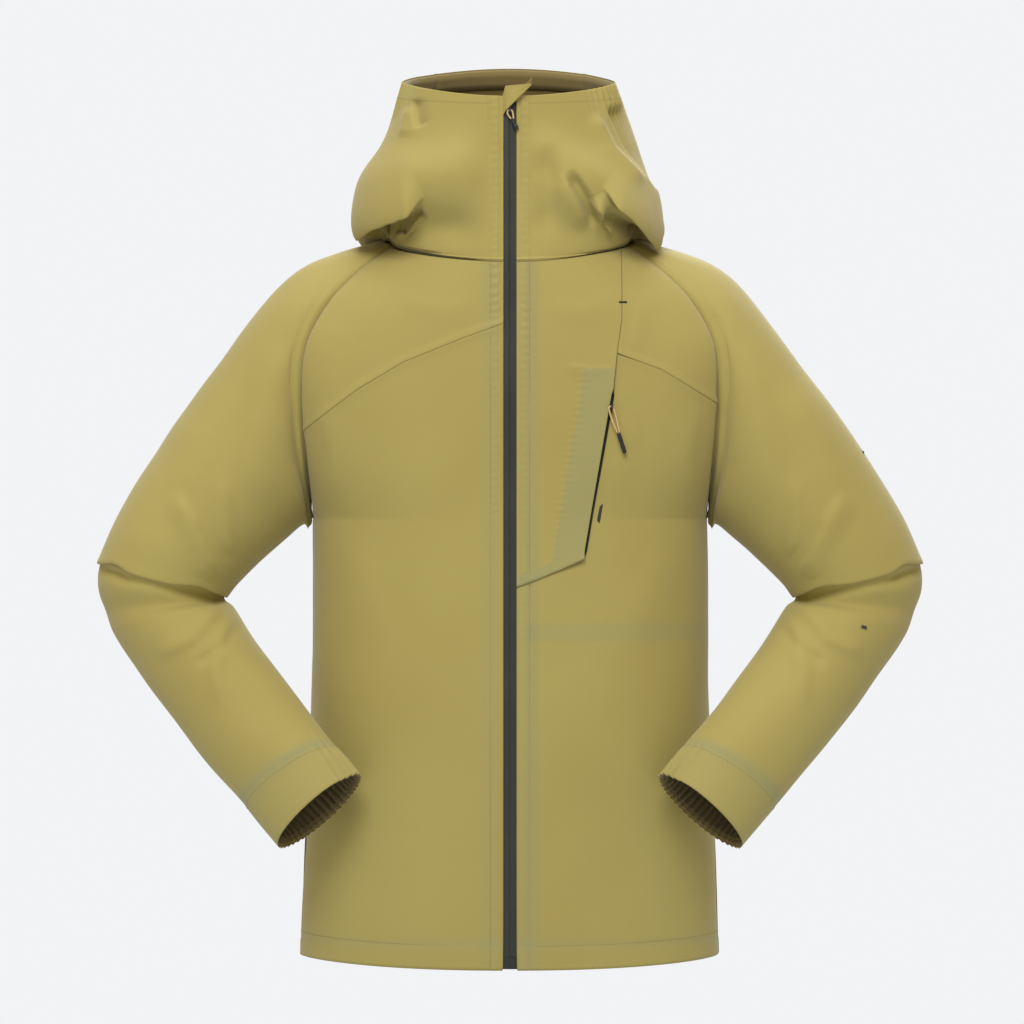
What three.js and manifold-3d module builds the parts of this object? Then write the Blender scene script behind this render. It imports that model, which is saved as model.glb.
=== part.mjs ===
// A hooded hardshell jacket, zipped up and filled out as on its wearer.
// Millimetres. +Z up, the front faces -Y, and +X is the wearer's left.
// The origin is on the wearer's centre line, level with the front of the neck seam.
import * as THREE from "three";
import { mergeVertices } from "three/addons/utils/BufferGeometryUtils.js";
import Module from "manifold-3d";

// ---- driving dimensions ----------------------------------------------------
const CLOTH = 1.0; // wall of every fabric panel
const GAP = 0.4; // between pieces that touch
const SEAM_GAP = 1.2; // between two panels that meet at a seam
const HEM_Z = -733; // hem at the centre front
const HEM_SIDE_Z = -725; // hem at the side seams
const HEM_HALF_WIDTH = 220;
const WAIST_HALF_WIDTH = 209;
const CHEST_HALF_WIDTH = 208;
const BODY_BACK_Y = 130;
const BODY_SQUARENESS = 2.3; // 2 makes the body's sections ellipses, more makes them boxier
const ARMPIT_Z = -267;
const HEM_FRONT_Y = -143;
const ZIP_LEAN = 0.04; // the zip leans back by this much per millimetre of height
const NECK_HALF_WIDTH = 130;
const NECK_MIDDLE_Y = -8;
const NECK_BACK = 100; // neck seam, behind its middle
const NECK_RISE = 50; // the neck seam is this much higher at the back
const RAGLAN_FRONT_DEG = 75; // where the raglan seams meet the neck seam, from the front
const RAGLAN_BACK_DEG = 110;
const HOOD_FRONT_Z = 171; // the hood's opening, at the zip
const HOOD_BACK_Z = 215;
const HOOD_OPENING_HALF_WIDTH = 112;
const HOOD_OPENING_BACK = 106;
const SHOULDER = [CHEST_HALF_WIDTH + 35, 0, -160.5]; // middle of the opening that the upper sleeve swings in
const ELBOW = [SHOULDER[0] + 122, -25, -331]; // middle of the bend in the sleeve
const ELBOW_RADIUS = 71.3; // the upper sleeve's lower edge
const ELBOW_CLEARANCE = 2.2; // the forearm's end turns inside the upper sleeve
const SHOULDER_REACH = 113; // from there to the top of that opening
const SHOULDER_DEPTH = 88;
const SHOULDER_CLEARANCE = 1.8; // between that opening's edge and the upper sleeve
const SHOULDER_TILT_DEG = 12.2; // that opening's top leans outwards
const CUFF_FACING = 37;
const ZIP_SLOT = 6.8; // half the width of zip that shows between the two fronts
const ZIP_TOP_Z = 170;
const TAPE_HALF = 15; // zip tape, from the middle of the zip to its outer edge
const TAPE_SPLIT = 0.7; // half the slit between the two tapes
const TAPE = 0.8;
const TAPE_DEPTH = 2.4; // the tapes' front face, behind the fronts' outer face
const FACING_WIDTH = 14; // strip stitched inside each front, beside the tape
const COIL = 2;
const COIL_WIDTH = 2.6;
const SLIDER_LENGTH = 15;
const SLIDER_HALF = 5.2;
const GARAGE_ROOM = 5.2; // between the slider's pull and the garage over it
const SLIDER_REST_Z = 158; // middle of the main slider when the jacket is done up
const PLATE = 1.4; // a slider's front and back plates
const PULL_CORD = 1.8; // diameter
const MAIN_PULL_LEAN = 24; // degrees that each pull hangs to the wearer's left of its zip
const POCKET_PULL_LEAN = 28;
const POCKET_TOP = [106, -143]; // ends of the chest pocket's zip
const POCKET_BOTTOM = [77, -309];
const POCKET_SLIT = 4; // width of the gap over that zip
const POCKET_TACK = [117, -43]; // the bar of stitches at the top of the pocket's seam
const POCKET_TAPE_HALF = 10;
const POCKET_COIL = 1.4;
const POCKET_SLIDER_LENGTH = 11;
const POCKET_SLIDER_HALF = 4;
const BAG = { inner: 34, outer: 192, low: -394, high: -104 }; // the pocket bag, from the front
const HEM_FACING = 25;
const HEM_CORD = 2.4; // diameter
const EDGE_FACING = 14; // turned in round the hood's opening
const EDGE_CORD = 2; // diameter
const LOCK_TRAVEL = 3; // of a cord lock's button
const LOOP_HALF = 24; // half the hanger loop's width
const LOOP_LEVEL = 0.88; // where it is sewn, from the armpits (0) to the neck seam (1)
const LABEL_WIDTH = 46;
const [LABEL_LOW, LABEL_HIGH] = [0.66, 0.8]; // in the same measure
const UPPER_TAB = [0.03, 0.62]; // turn round the sleeve and distance along it
const FOREARM_TAB = [0.2, 0.34];

// ---- materials --------------------------------------------------------------
const material = (color, roughness, metalness = 0) =>
  new THREE.MeshStandardMaterial({ color, roughness, metalness });
const shellCloth = material(0xa8965a, 0.75);
const liningCloth = material(0x8f7a48, 0.85);
const zipTape = material(0x3c4042, 0.4);
const mouldedBlack = material(0x23272a, 0.45);
const tanCord = material(0xd3b27c, 0.8);
const elasticWeb = material(0x6e5a30, 0.9);

// ---- small tools ------------------------------------------------------------
const wasm = await Module();
wasm.setup();
const V = (x, y, z) => new THREE.Vector3(x, y, z);
const mix = THREE.MathUtils.lerp;
const rad = THREE.MathUtils.degToRad;
const steps = (count, low = 0, high = 1) =>
  Array.from({ length: count + 1 }, (_, i) => mix(low, high, i / count));
const jacket = new THREE.Group();

function add(name, geometry, look, parent = jacket) {
  const mesh = new THREE.Mesh(geometry, look);
  mesh.name = name;
  parent.add(mesh);
  return mesh;
}

// Rows of numbers whose first column rises: the other columns at t, on a smooth curve.
function along(rows, t) {
  let i = 0;
  while (i < rows.length - 2 && t > rows[i + 1][0]) i += 1;
  const [a, b] = [rows[i], rows[i + 1]];
  const before = rows[Math.max(i - 1, 0)];
  const after = rows[Math.min(i + 2, rows.length - 1)];
  const span = b[0] - a[0];
  const s = THREE.MathUtils.clamp((t - a[0]) / span, 0, 1);
  return a.slice(1).map((start, k) => {
    const end = b[k + 1];
    const slopeIn = ((end - before[k + 1]) / (b[0] - before[0])) * span;
    const slopeOut = ((after[k + 1] - start) / (after[0] - a[0])) * span;
    return (
      start * (1 + 2 * s) * (1 - s) ** 2 + end * s * s * (3 - 2 * s) +
      slopeIn * s * (1 - s) ** 2 - slopeOut * s * s * (1 - s)
    );
  });
}

// A closed mesh from vertices and triangles, with its faces pointing out.
function closedGeometry(points, triangles) {
  let volume = 0;
  for (const [a, b, c] of triangles) {
    volume += points[a].dot(points[b].clone().cross(points[c]));
  }
  const turned = volume < 0 ? triangles.map(([a, b, c]) => [a, c, b]) : triangles;
  const geometry = new THREE.BufferGeometry();
  geometry.setAttribute(
    "position",
    new THREE.Float32BufferAttribute(points.flatMap((p) => p.toArray()), 3),
  );
  geometry.setIndex(turned.flat());
  return geometry;
}

// A cloth panel. Its outer face is point(u, v) over the steps us and vs, moved in by sink(u, v),
// and its wall goes in from there, towards the point middle(at). With around, u closes on itself.
function panel(point, us, vs, middle, { wall = CLOTH, around = false, sink = () => 0 } = {}) {
  const small = 1e-3;
  const outer = [];
  const inner = [];
  for (const v of vs) {
    for (const u of us) {
      const at = point(u, v);
      const alongU = point(u + small, v).sub(point(u - small, v));
      const alongV = point(u, v + small).sub(point(u, v - small));
      const inwards = alongU.cross(alongV).normalize();
      if (inwards.dot(middle(at).sub(at)) < 0) inwards.negate();
      outer.push(at.clone().addScaledVector(inwards, sink(u, v)));
      inner.push(at.clone().addScaledVector(inwards, sink(u, v) + wall));
    }
  }
  const across = us.length;
  const n = outer.length;
  const cells = around ? across : across - 1;
  const triangles = [];
  const quad = (a, b, c, d) => triangles.push([a, b, c], [a, c, d]);
  for (let j = 0; j < vs.length - 1; j += 1) {
    for (let i = 0; i < cells; i += 1) {
      const here = j * across + i;
      const next = j * across + ((i + 1) % across);
      quad(here, next, next + across, here + across);
      quad(n + here, n + here + across, n + next + across, n + next);
    }
    if (!around) {
      const left = j * across;
      const right = left + across - 1;
      quad(left, left + across, n + left + across, n + left);
      quad(right, n + right, n + right + across, right + across);
    }
  }
  const top = (vs.length - 1) * across;
  for (let i = 0; i < cells; i += 1) {
    const next = (i + 1) % across;
    quad(i, n + i, n + next, next);
    quad(top + i, top + next, n + top + next, n + top + i);
  }
  return closedGeometry([...outer, ...inner], triangles);
}

// A bar of a flat outline along a smooth path through the points.
function sweep(outline, points, count) {
  return new THREE.ExtrudeGeometry(outline, {
    steps: count,
    bevelEnabled: false,
    extrudePath: new THREE.CatmullRomCurve3(points, false, "centripetal"),
  });
}

function disc(radius, sides = 8) {
  return new THREE.Shape(
    steps(sides, 0, 2 * Math.PI).slice(0, -1)
      .map((turn) => new THREE.Vector2(radius * Math.cos(turn), radius * Math.sin(turn))),
  );
}

const outlineOf = (...corners) => new THREE.Shape(corners.map((c) => new THREE.Vector2(...c)));

// A box from its lowest to its highest corner.
function block(low, high) {
  const size = high.map((x, i) => x - low[i]);
  const geometry = new THREE.BoxGeometry(...size);
  geometry.translate(...low.map((x, i) => x + size[i] / 2));
  return geometry;
}

// An outline drawn as seen from the front, in x and z, as a solid from frontY to backY.
function fromFront(corners, frontY, backY) {
  const geometry = new THREE.ExtrudeGeometry(outlineOf(...corners), {
    depth: backY - frontY,
    bevelEnabled: false,
  });
  geometry.rotateX(Math.PI / 2);
  geometry.translate(0, backY, 0);
  return geometry;
}

function solid(geometry) {
  const bare = geometry.clone();
  bare.deleteAttribute("normal");
  bare.deleteAttribute("uv");
  const merged = mergeVertices(bare, 1e-4);
  return new wasm.Manifold(new wasm.Mesh({
    numProp: 3,
    vertProperties: new Float32Array(merged.attributes.position.array),
    triVerts: new Uint32Array(merged.index.array),
  }));
}

function geometryOf(shape) {
  const mesh = shape.getMesh();
  const geometry = new THREE.BufferGeometry();
  geometry.setAttribute("position", new THREE.BufferAttribute(mesh.vertProperties, 3));
  geometry.setIndex(new THREE.BufferAttribute(mesh.triVerts, 1));
  return geometry;
}

// The same piece for the other side of the jacket.
function mirroredGeometry(geometry) {
  const copy = mergeVertices(geometryOf(solid(geometry)), 1e-4);
  const place = copy.attributes.position;
  for (let i = 0; i < place.count; i += 1) place.setX(i, -place.getX(i));
  const index = copy.index.array;
  for (let i = 0; i < index.length; i += 3) {
    [index[i], index[i + 1]] = [index[i + 1], index[i]];
  }
  return copy;
}

const joined = (...parts) => geometryOf(parts.map(solid).reduce((a, b) => a.add(b)));

// ---- the body's surface -----------------------------------------------------
const zipY = (z) => HEM_FRONT_Y + ZIP_LEAN * (z - HEM_Z);
const NECK_FRONT = NECK_MIDDLE_Y - zipY(0);

// The body below the armpits: deg goes round from the centre front, level from hem to armpit.
const bodyWidths = [
  [HEM_Z, HEM_HALF_WIDTH],
  [mix(HEM_Z, ARMPIT_Z, 0.25), mix(HEM_HALF_WIDTH, WAIST_HALF_WIDTH, 0.3)],
  [mix(HEM_Z, ARMPIT_Z, 0.6), WAIST_HALF_WIDTH],
  [ARMPIT_Z, CHEST_HALF_WIDTH],
];
function body(deg, level) {
  const [c, s] = [Math.cos(rad(deg)), Math.sin(rad(deg))];
  const z = mix(mix(HEM_Z, HEM_SIDE_Z, s * s), ARMPIT_Z, level);
  const power = 2 / BODY_SQUARENESS;
  const halfWidth = along(bodyWidths, z)[0];
  const middle = (zipY(z) + BODY_BACK_Y) / 2;
  const depth = (BODY_BACK_Y - zipY(z)) / 2;
  return V(
    halfWidth * Math.sign(s) * Math.abs(s) ** power,
    middle - depth * Math.sign(c) * Math.abs(c) ** power,
    z,
  );
}

// A level loop round the neck: rows are angle from the front, half width, depth and height.
function loop(rows, deg) {
  const turn = THREE.MathUtils.euclideanModulo(deg + 180, 360) - 180;
  const [halfWidth, depth, z] = along(rows, Math.abs(turn));
  return V(
    halfWidth * Math.sin(rad(turn)),
    NECK_MIDDLE_Y - depth * Math.cos(rad(turn)),
    z,
  );
}
const neckRows = [
  [0, NECK_HALF_WIDTH, NECK_FRONT, 0],
  [90, NECK_HALF_WIDTH, mix(NECK_FRONT, NECK_BACK, 0.5), NECK_RISE / 2],
  [180, NECK_HALF_WIDTH, NECK_BACK, NECK_RISE],
];
const neck = (deg) => loop(neckRows, deg);

// The raglan seams on the wearer's left, from the armpit (0) up to the neck seam (1).
const armpit = body(90, 1);
const frontRaglanRows = [
  [0, ...armpit.toArray()],
  [0.22, armpit.x + 6, -58, -208],
  [0.42, armpit.x + 9, -79, -140],
  [0.6, armpit.x + 4, -81, -86],
  [0.76, armpit.x - 19, -73, -40],
  [0.88, armpit.x - 50, -56, -6],
  [1, ...neck(RAGLAN_FRONT_DEG).toArray()],
];
const backRaglanRows = [
  [0, ...armpit.toArray()],
  [0.22, armpit.x + 5, 62, -208],
  [0.42, armpit.x + 3, 84, -140],
  [0.6, armpit.x - 6, 86, -86],
  [0.76, armpit.x - 28, 74, -34],
  [0.88, armpit.x - 56, 54, 8],
  [1, ...neck(RAGLAN_BACK_DEG).toArray()],
];
const frontRaglan = (t) => V(...along(frontRaglanRows, t));
const backRaglan = (t) => V(...along(backRaglanRows, t));
const mirrored = (at) => V(-at.x, at.y, at.z);

// Above the armpits each row runs from the centre line to a raglan seam, as round as the body
// is at the armpits, and the rows turn into the neck seam at the top.
function chestRow(centre, edge, u) {
  const power = 2 / BODY_SQUARENESS;
  const outwards = Math.sign(u) * Math.abs(Math.sin(rad(90 * u))) ** power;
  const level = Math.cos(rad(90 * u)) ** power;
  return V(
    edge.x * outwards,
    mix(edge.y, centre.y, level),
    mix(centre.z, edge.z, outwards * outwards),
  );
}
function chest(centreLine, seam, neckLine, u, v) {
  const toNeck = neckLine(u).sub(chestRow(centreLine(1), seam(1), u));
  return chestRow(centreLine(v), seam(v), u).addScaledVector(toNeck, v ** 4);
}

// The left front: u from the zip to the side, v from -1 at the hem, 0 at the armpit, 1 at the neck.
function front(u, v) {
  if (v <= 0) return body(90 * u, v + 1);
  const centreLine = (t) => {
    const z = mix(ARMPIT_Z, 0, t);
    return V(0, zipY(z), z);
  };
  return chest(centreLine, frontRaglan, (t) => neck(RAGLAN_FRONT_DEG * t), Math.min(u, 1), v);
}

// The back: u from -1 at the right side to 1 at the left, v as on the fronts.
const backLineRows = [
  [0, BODY_BACK_Y, ARMPIT_Z],
  [0.45, BODY_BACK_Y + 2, mix(ARMPIT_Z, NECK_RISE, 0.42)],
  [0.8, mix(BODY_BACK_Y, NECK_MIDDLE_Y + NECK_BACK, 0.5), mix(ARMPIT_Z, NECK_RISE, 0.8)],
  [1, NECK_MIDDLE_Y + NECK_BACK, NECK_RISE],
];
function back(u, v) {
  if (v <= 0) return body(180 - 90 * u, v + 1);
  const centreLine = (t) => V(0, ...along(backLineRows, t));
  const neckLine = (t) => neck(180 - (180 - RAGLAN_BACK_DEG) * t);
  return chest(centreLine, backRaglan, neckLine, THREE.MathUtils.clamp(u, -1, 1), v);
}

const bodyMiddle = (at) => V(0, 0, at.z);
const sideLimit = 1 - SEAM_GAP / 4 / CHEST_HALF_WIDTH;
const frontEdge = (ZIP_SLOT / CHEST_HALF_WIDTH) ** (BODY_SQUARENESS / 2) / rad(90);
const armLimit = 0.994;
const neckLimit = 0.994;
const frontAcross = [frontEdge, 0.07, 0.15, 0.25, 0.35, 0.46, 0.58, 0.7, 0.82, 0.92, sideLimit];
const backAcross = [-sideLimit, ...steps(14, -0.9, 0.9), sideLimit];
const bodyUp = [...steps(5, -1, 0), ...steps(10, 0, neckLimit).slice(1)];

// A front with its zip edge straight: below the slot's width nothing of it is kept.
function wholeFront() {
  const cloth = panel(front, [0, ...frontAcross.slice(1)], bodyUp, bodyMiddle);
  const slot = fromFront(
    [[-9, HEM_Z - 9], [ZIP_SLOT, HEM_Z - 9], [ZIP_SLOT, 9], [-9, 9]], -200, 0,
  );
  return solid(cloth).subtract(solid(slot));
}

// Regions of the left front, as seen from the front.
const YOKE_ZIP_Z = -64; // where the right front's yoke seam meets the zip
const leftSlit = [[111, -96], POCKET_TOP, POCKET_BOTTOM];
const shiftX = (corners, dx) => corners.map(([x, z]) => [x + dx, z]);
const FAR = 300; // past every edge of the body
const pocketRegion = (grow) => [
  [-FAR, FAR],
  [116 + grow, FAR],
  [116 + grow, -62],
  ...shiftX(leftSlit, grow),
  [POCKET_BOTTOM[0] + grow, POCKET_BOTTOM[1] - grow],
  [0, -341 - grow],
  [-FAR, -341 - grow],
];
const leftYokeRegion = (grow) => [
  [-FAR, FAR],
  [-FAR, -88 - grow],
  [111, -96 - grow],
  [157, -113 - grow],
  [199, -138 - grow],
  [FAR, -196 - grow],
  [FAR, FAR],
];
const rightYokeRegion = (grow) => [
  [-FAR, FAR],
  [-FAR, -252 - grow],
  [-212, -174 - grow],
  [-160, -134 - grow],
  [-112, -105 - grow],
  [-50, -80 - grow],
  [0, YOKE_ZIP_Z + 2 - grow],
  [FAR, YOKE_ZIP_Z + 2 - grow],
  [FAR, FAR],
];
const region = (corners) => solid(fromFront(corners, -200, 60));

const leftFront = wholeFront();
const rightFront = solid(mirroredGeometry(geometryOf(leftFront)));
const pocketSide = region(pocketRegion(-POCKET_SLIT / 2));
const pocketSideGrown = region(pocketRegion(POCKET_SLIT / 2));
add("left_pocket_panel", geometryOf(leftFront.intersect(pocketSide)), shellCloth);
const leftRest = leftFront.subtract(pocketSideGrown);
add("left_yoke", geometryOf(leftRest.intersect(region(leftYokeRegion(0)))), shellCloth);
add("left_front_panel", geometryOf(leftRest.subtract(region(leftYokeRegion(SEAM_GAP)))), shellCloth);
add("right_yoke", geometryOf(rightFront.intersect(region(rightYokeRegion(0)))), shellCloth);
add(
  "right_front_panel",
  geometryOf(rightFront.subtract(region(rightYokeRegion(SEAM_GAP)))),
  shellCloth,
);
add(
  "back_panel",
  panel(back, backAcross, bodyUp, bodyMiddle),
  shellCloth,
);

// ---- the sleeves --------------------------------------------------------------
// A sleeve's loop, drawn on the left: rows are distance along it, the outer and inner points
// as seen from the front, its middle's y, half its depth, and how far its front edge is raised.
function sleeve(rows, turn, t) {
  const [outX, outZ, inX, inZ, y, depth, raise] = along(rows, t);
  const across = V(outX - inX, 0, outZ - inZ);
  const half = across.length() / 2;
  across.normalize();
  const up = V(-across.z, 0, across.x);
  const forward = V(0, -Math.cos(rad(raise)), 0).addScaledVector(up, Math.sin(rad(raise)));
  return V((outX + inX) / 2, y, (outZ + inZ) / 2)
    .addScaledVector(across, half * Math.cos(2 * Math.PI * turn))
    .addScaledVector(forward, depth * Math.sin(2 * Math.PI * turn));
}
const polar = ([x, , z], radius, deg) => [x + radius * Math.cos(rad(deg)), z + radius * Math.sin(rad(deg))];
const openingTopDeg = 90 - SHOULDER_TILT_DEG;
const openingRow = (shrink) => [
  ...polar(SHOULDER, SHOULDER_REACH - shrink, openingTopDeg),
  ...polar(SHOULDER, SHOULDER_REACH - shrink, openingTopDeg + 180),
  SHOULDER[1],
  SHOULDER_DEPTH - shrink,
  0,
];
const foldTopDeg = 14.6; // the elbow fold drops towards the body
const upperRows = [
  [0, ...openingRow(CLOTH + SHOULDER_CLEARANCE)],
  [0.3, ELBOW[0] - 49, -117, ELBOW[0] - 127, -289, -5, 86, 0],
  [0.62, ELBOW[0] + 6, -197, ELBOW[0] - 103, -311, -13, 82, 0],
  [0.85, ELBOW[0] + 46, -262, ELBOW[0] - 78, -336, -20, 77, 0],
  [
    1,
    ...polar(ELBOW, ELBOW_RADIUS, foldTopDeg),
    ...polar(ELBOW, ELBOW_RADIUS, foldTopDeg + 180),
    ELBOW[1], ELBOW_RADIUS, 0,
  ],
];
const ballRadius = ELBOW_RADIUS - CLOTH - ELBOW_CLEARANCE;
function ballRow(t, outerDeg, innerDeg) {
  const half = (ballRadius * Math.sin(rad((innerDeg - outerDeg) / 2)));
  return [
    t, ...polar(ELBOW, ballRadius, outerDeg), ...polar(ELBOW, ballRadius, innerDeg), ELBOW[1], half, 0,
  ];
}
const ballSteps = [0, 0.07, 0.14, 0.21];
const forearmRows = [
  ballRow(ballSteps[0], 19, 150),
  ballRow(ballSteps[1], 4, 166),
  ballRow(ballSteps[2], -12, 179),
  ballRow(ballSteps[3], -28, 197),
  [0.3, ELBOW[0] + 50, -389, ELBOW[0] - 76, -361, -35, 65, 7],
  [0.45, ELBOW[0] + 20, -431, ELBOW[0] - 103, -400, -61, 58, 15],
  [0.7, ELBOW[0] - 43, -510, ELBOW[0] - 151, -462, -101, 48, 20],
  [1, ELBOW[0] - 127, -605, ELBOW[0] - 210, -531, -145, 36, 22],
];
const sleeveMiddle = (rows) => (at) => {
  let best = rows[0];
  let nearest = Infinity;
  for (const row of rows) {
    const middle = V((row[1] + row[3]) / 2, row[5], (row[2] + row[4]) / 2);
    const distance = middle.distanceTo(at);
    if (distance < nearest) [nearest, best] = [distance, row];
  }
  return V((best[1] + best[3]) / 2, best[5], (best[2] + best[4]) / 2);
};
const roundSleeve = steps(20).slice(0, -1);
const upperSleeve = panel(
  (u, v) => sleeve(upperRows, u, v), roundSleeve, steps(7), sleeveMiddle(upperRows), { around: true },
);
const forearm = (u, v) => sleeve(forearmRows, u, v);
const forearmMiddle = sleeveMiddle(forearmRows);
const forearmSleeve = panel(
  forearm, roundSleeve, [...ballSteps, ...steps(7, ballSteps.at(-1), 1).slice(1)], forearmMiddle,
  { around: true },
);
const facingStart = 1 - CUFF_FACING / 310;
const cuffFacing = panel(
  forearm, roundSleeve, steps(3, facingStart, 0.996), forearmMiddle,
  { around: true, sink: () => CLOTH + GAP },
);
const cuffElastic = panel(
  forearm, steps(10, 0.5, 1), steps(2, facingStart + 0.02, 0.985), forearmMiddle,
  { sink: () => 2 * (CLOTH + GAP) + 0.2 },
);

// The sleeve head: the part of the raglan sleeve that lies on the shoulder, from the raglan
// seams and the neck to the opening that the upper sleeve swings in.
function raglanEdge(turn) {
  const side = turn <= 0.5 ? turn * 2 : (1 - turn) * 2; // 0 at the neck, 1 at the armpit
  const neckShare = 0.14; // of the way round, along the neck seam
  const rise = turn <= 0.5 ? frontRaglan : backRaglan;
  if (side >= neckShare) return rise(1 - (side - neckShare) / (1 - neckShare));
  const corner = turn <= 0.5 ? RAGLAN_FRONT_DEG : RAGLAN_BACK_DEG;
  return neck(mix((RAGLAN_FRONT_DEG + RAGLAN_BACK_DEG) / 2, corner, side / neckShare));
}
function head(u, v) {
  const turn = THREE.MathUtils.euclideanModulo(u, 1);
  const start = raglanEdge(turn);
  const end = sleeve([[0, ...openingRow(0)], [1, ...openingRow(0)]], turn, 0);
  const lift = (1 + Math.cos(2 * Math.PI * turn)) / 2; // 1 over the shoulder, 0 at the armpit
  const leave = V(60, 0, -16).multiplyScalar(lift).addScaledVector(V(14, 0, -30), 1 - lift);
  const arrive = V(34, 0, -62).multiplyScalar(lift).addScaledVector(V(14, 0, -10), 1 - lift);
  const curve = new THREE.CubicBezierCurve3(
    start, start.clone().add(leave), end.clone().sub(arrive), end,
  );
  return curve.getPoint(v);
}
const headMiddle = () => V(SHOULDER[0] - 40, 0, SHOULDER[2]);
const headStart = 0.02;
const roundHead = steps(30).slice(0, -1);
const sleeveHead = panel(head, roundHead, steps(5, headStart, 1), headMiddle, { around: true });

for (const [side, turned] of [["left", (g) => g], ["right", mirroredGeometry]]) {
  add(`${side}_sleeve_head`, turned(sleeveHead), shellCloth);
  add(`${side}_upper_sleeve`, turned(upperSleeve), shellCloth);
  add(`${side}_forearm_sleeve`, turned(forearmSleeve), shellCloth);
  add(`${side}_cuff_facing`, turned(cuffFacing), liningCloth);
  add(`${side}_cuff_elastic`, turned(cuffElastic), elasticWeb);
}

// ---- the hood -------------------------------------------------------------------
const lowRows = [
  [0, 132, NECK_MIDDLE_Y - zipY(20), 20],
  [45, 136, 110, 17],
  [90, 152, 122, 34],
  [135, 176, 168, 2],
  [180, 172, 174, -34],
];
const bulgeRows = [
  [0, 140, NECK_MIDDLE_Y - zipY(85), 85],
  [45, 150, 120, 72],
  [90, 161, 140, 50],
  [135, 180, 182, 30],
  [180, 176, 196, 10],
];
const upperHoodRows = [
  [0, 128, NECK_MIDDLE_Y - zipY(135), 135],
  [90, 138, 118, 118],
  [180, 140, 140, 120],
];
const openingRows = [
  [0, HOOD_OPENING_HALF_WIDTH, NECK_MIDDLE_Y - zipY(HOOD_FRONT_Z), HOOD_FRONT_Z],
  [90, HOOD_OPENING_HALF_WIDTH, 102, mix(HOOD_FRONT_Z, HOOD_BACK_Z, 0.5)],
  [180, HOOD_OPENING_HALF_WIDTH, HOOD_OPENING_BACK, HOOD_BACK_Z],
];
function hood(deg, v) {
  const heights = [neckRows, lowRows, bulgeRows, upperHoodRows, openingRows];
  const rows = heights.map((rowSet, i) => [i / 4, ...loop(rowSet, deg).toArray()]);
  return V(...along(rows, v));
}
const hoodMiddle = (at) => V(0, NECK_MIDDLE_Y, at.z * 0.3 + 60);
const sideUp = steps(10, 0.012, 1);
const crownUp = steps(11, 0.012, 1);
const crownSeamDeg = 138;
const seamDeg = 0.25;
const sideDegs = steps(14, 0, crownSeamDeg - seamDeg);
const crownDegs = steps(9, crownSeamDeg, 360 - crownSeamDeg);
const hoodSide = geometryOf(
  solid(panel(hood, sideDegs, sideUp, hoodMiddle)).subtract(
    solid(fromFront([[-9, -9], [ZIP_SLOT, -9], [ZIP_SLOT, 250], [-9, 250]], -200, 0)),
  ),
);
add("hood_left_side", hoodSide, shellCloth);
add("hood_right_side", mirroredGeometry(hoodSide), shellCloth);
add("hood_centre_panel", panel(hood, crownDegs, crownUp, hoodMiddle), shellCloth);

// A hem turned in along an edge, leaving room for a cord in its middle.
const TUNNEL_ROOM = 1.2; // beside the cord
function turnedIn(point, us, low, high, middle, cord) {
  const bulge = (v) => Math.sin(Math.PI * THREE.MathUtils.clamp((v - low) / (high - low), 0, 1));
  return panel(point, us, steps(4, low, high), middle, {
    sink: (u, v) => CLOTH + GAP + (cord + TUNNEL_ROOM) * Math.min(1, 1.35 * bulge(v)),
  });
}
function cordIn(point, us, v, middle, diameter) {
  const path = us.map((u) => {
    const small = 1e-3;
    const alongU = point(u + small, v).sub(point(u - small, v));
    const alongV = point(u, v + small).sub(point(u, v - small));
    const at = point(u, v);
    const inwards = alongU.cross(alongV).normalize();
    if (inwards.dot(middle(at).sub(at)) < 0) inwards.negate();
    return at.addScaledVector(inwards, CLOTH + GAP + (diameter + TUNNEL_ROOM) / 2);
  });
  return sweep(disc(diameter / 2, 6), path, us.length + 12);
}
const edgeLow = 1 - EDGE_FACING / 250;
const openDegs = sideDegs.slice(2);
const edgeDegs = [...openDegs, ...crownDegs.slice(1, -1), ...openDegs.map((deg) => 360 - deg).reverse()];
add(
  "hood_edge_facing",
  turnedIn(hood, edgeDegs, edgeLow, 0.997, hoodMiddle, EDGE_CORD),
  liningCloth,
);
add(
  "hood_elastic_cord",
  cordIn(hood, steps(26, 40, 320), mix(edgeLow, 0.997, 0.5), hoodMiddle, EDGE_CORD),
  elasticWeb,
);

// ---- the hem ---------------------------------------------------------------------
// Its facing has the panels' own columns, so that it lies along them all the way round.
const frontDegs = frontAcross.slice(2, -1).map((u) => 90 * u);
const backDegs = backAcross.slice(1, -1).map((u) => 180 - 90 * u).reverse();
const hemAcross = [...frontDegs, 90, ...backDegs, 270, ...frontDegs.map((deg) => 360 - deg).reverse()];
const hemHigh = HEM_FACING / (ARMPIT_Z - HEM_Z);
add(
  "hem_facing",
  turnedIn(body, hemAcross, 0.002, hemHigh, bodyMiddle, HEM_CORD),
  liningCloth,
);
add(
  "hem_drawcord",
  cordIn(body, steps(40, 50, 310), mix(0.002, hemHigh, 0.5), bodyMiddle, HEM_CORD),
  elasticWeb,
);

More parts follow.
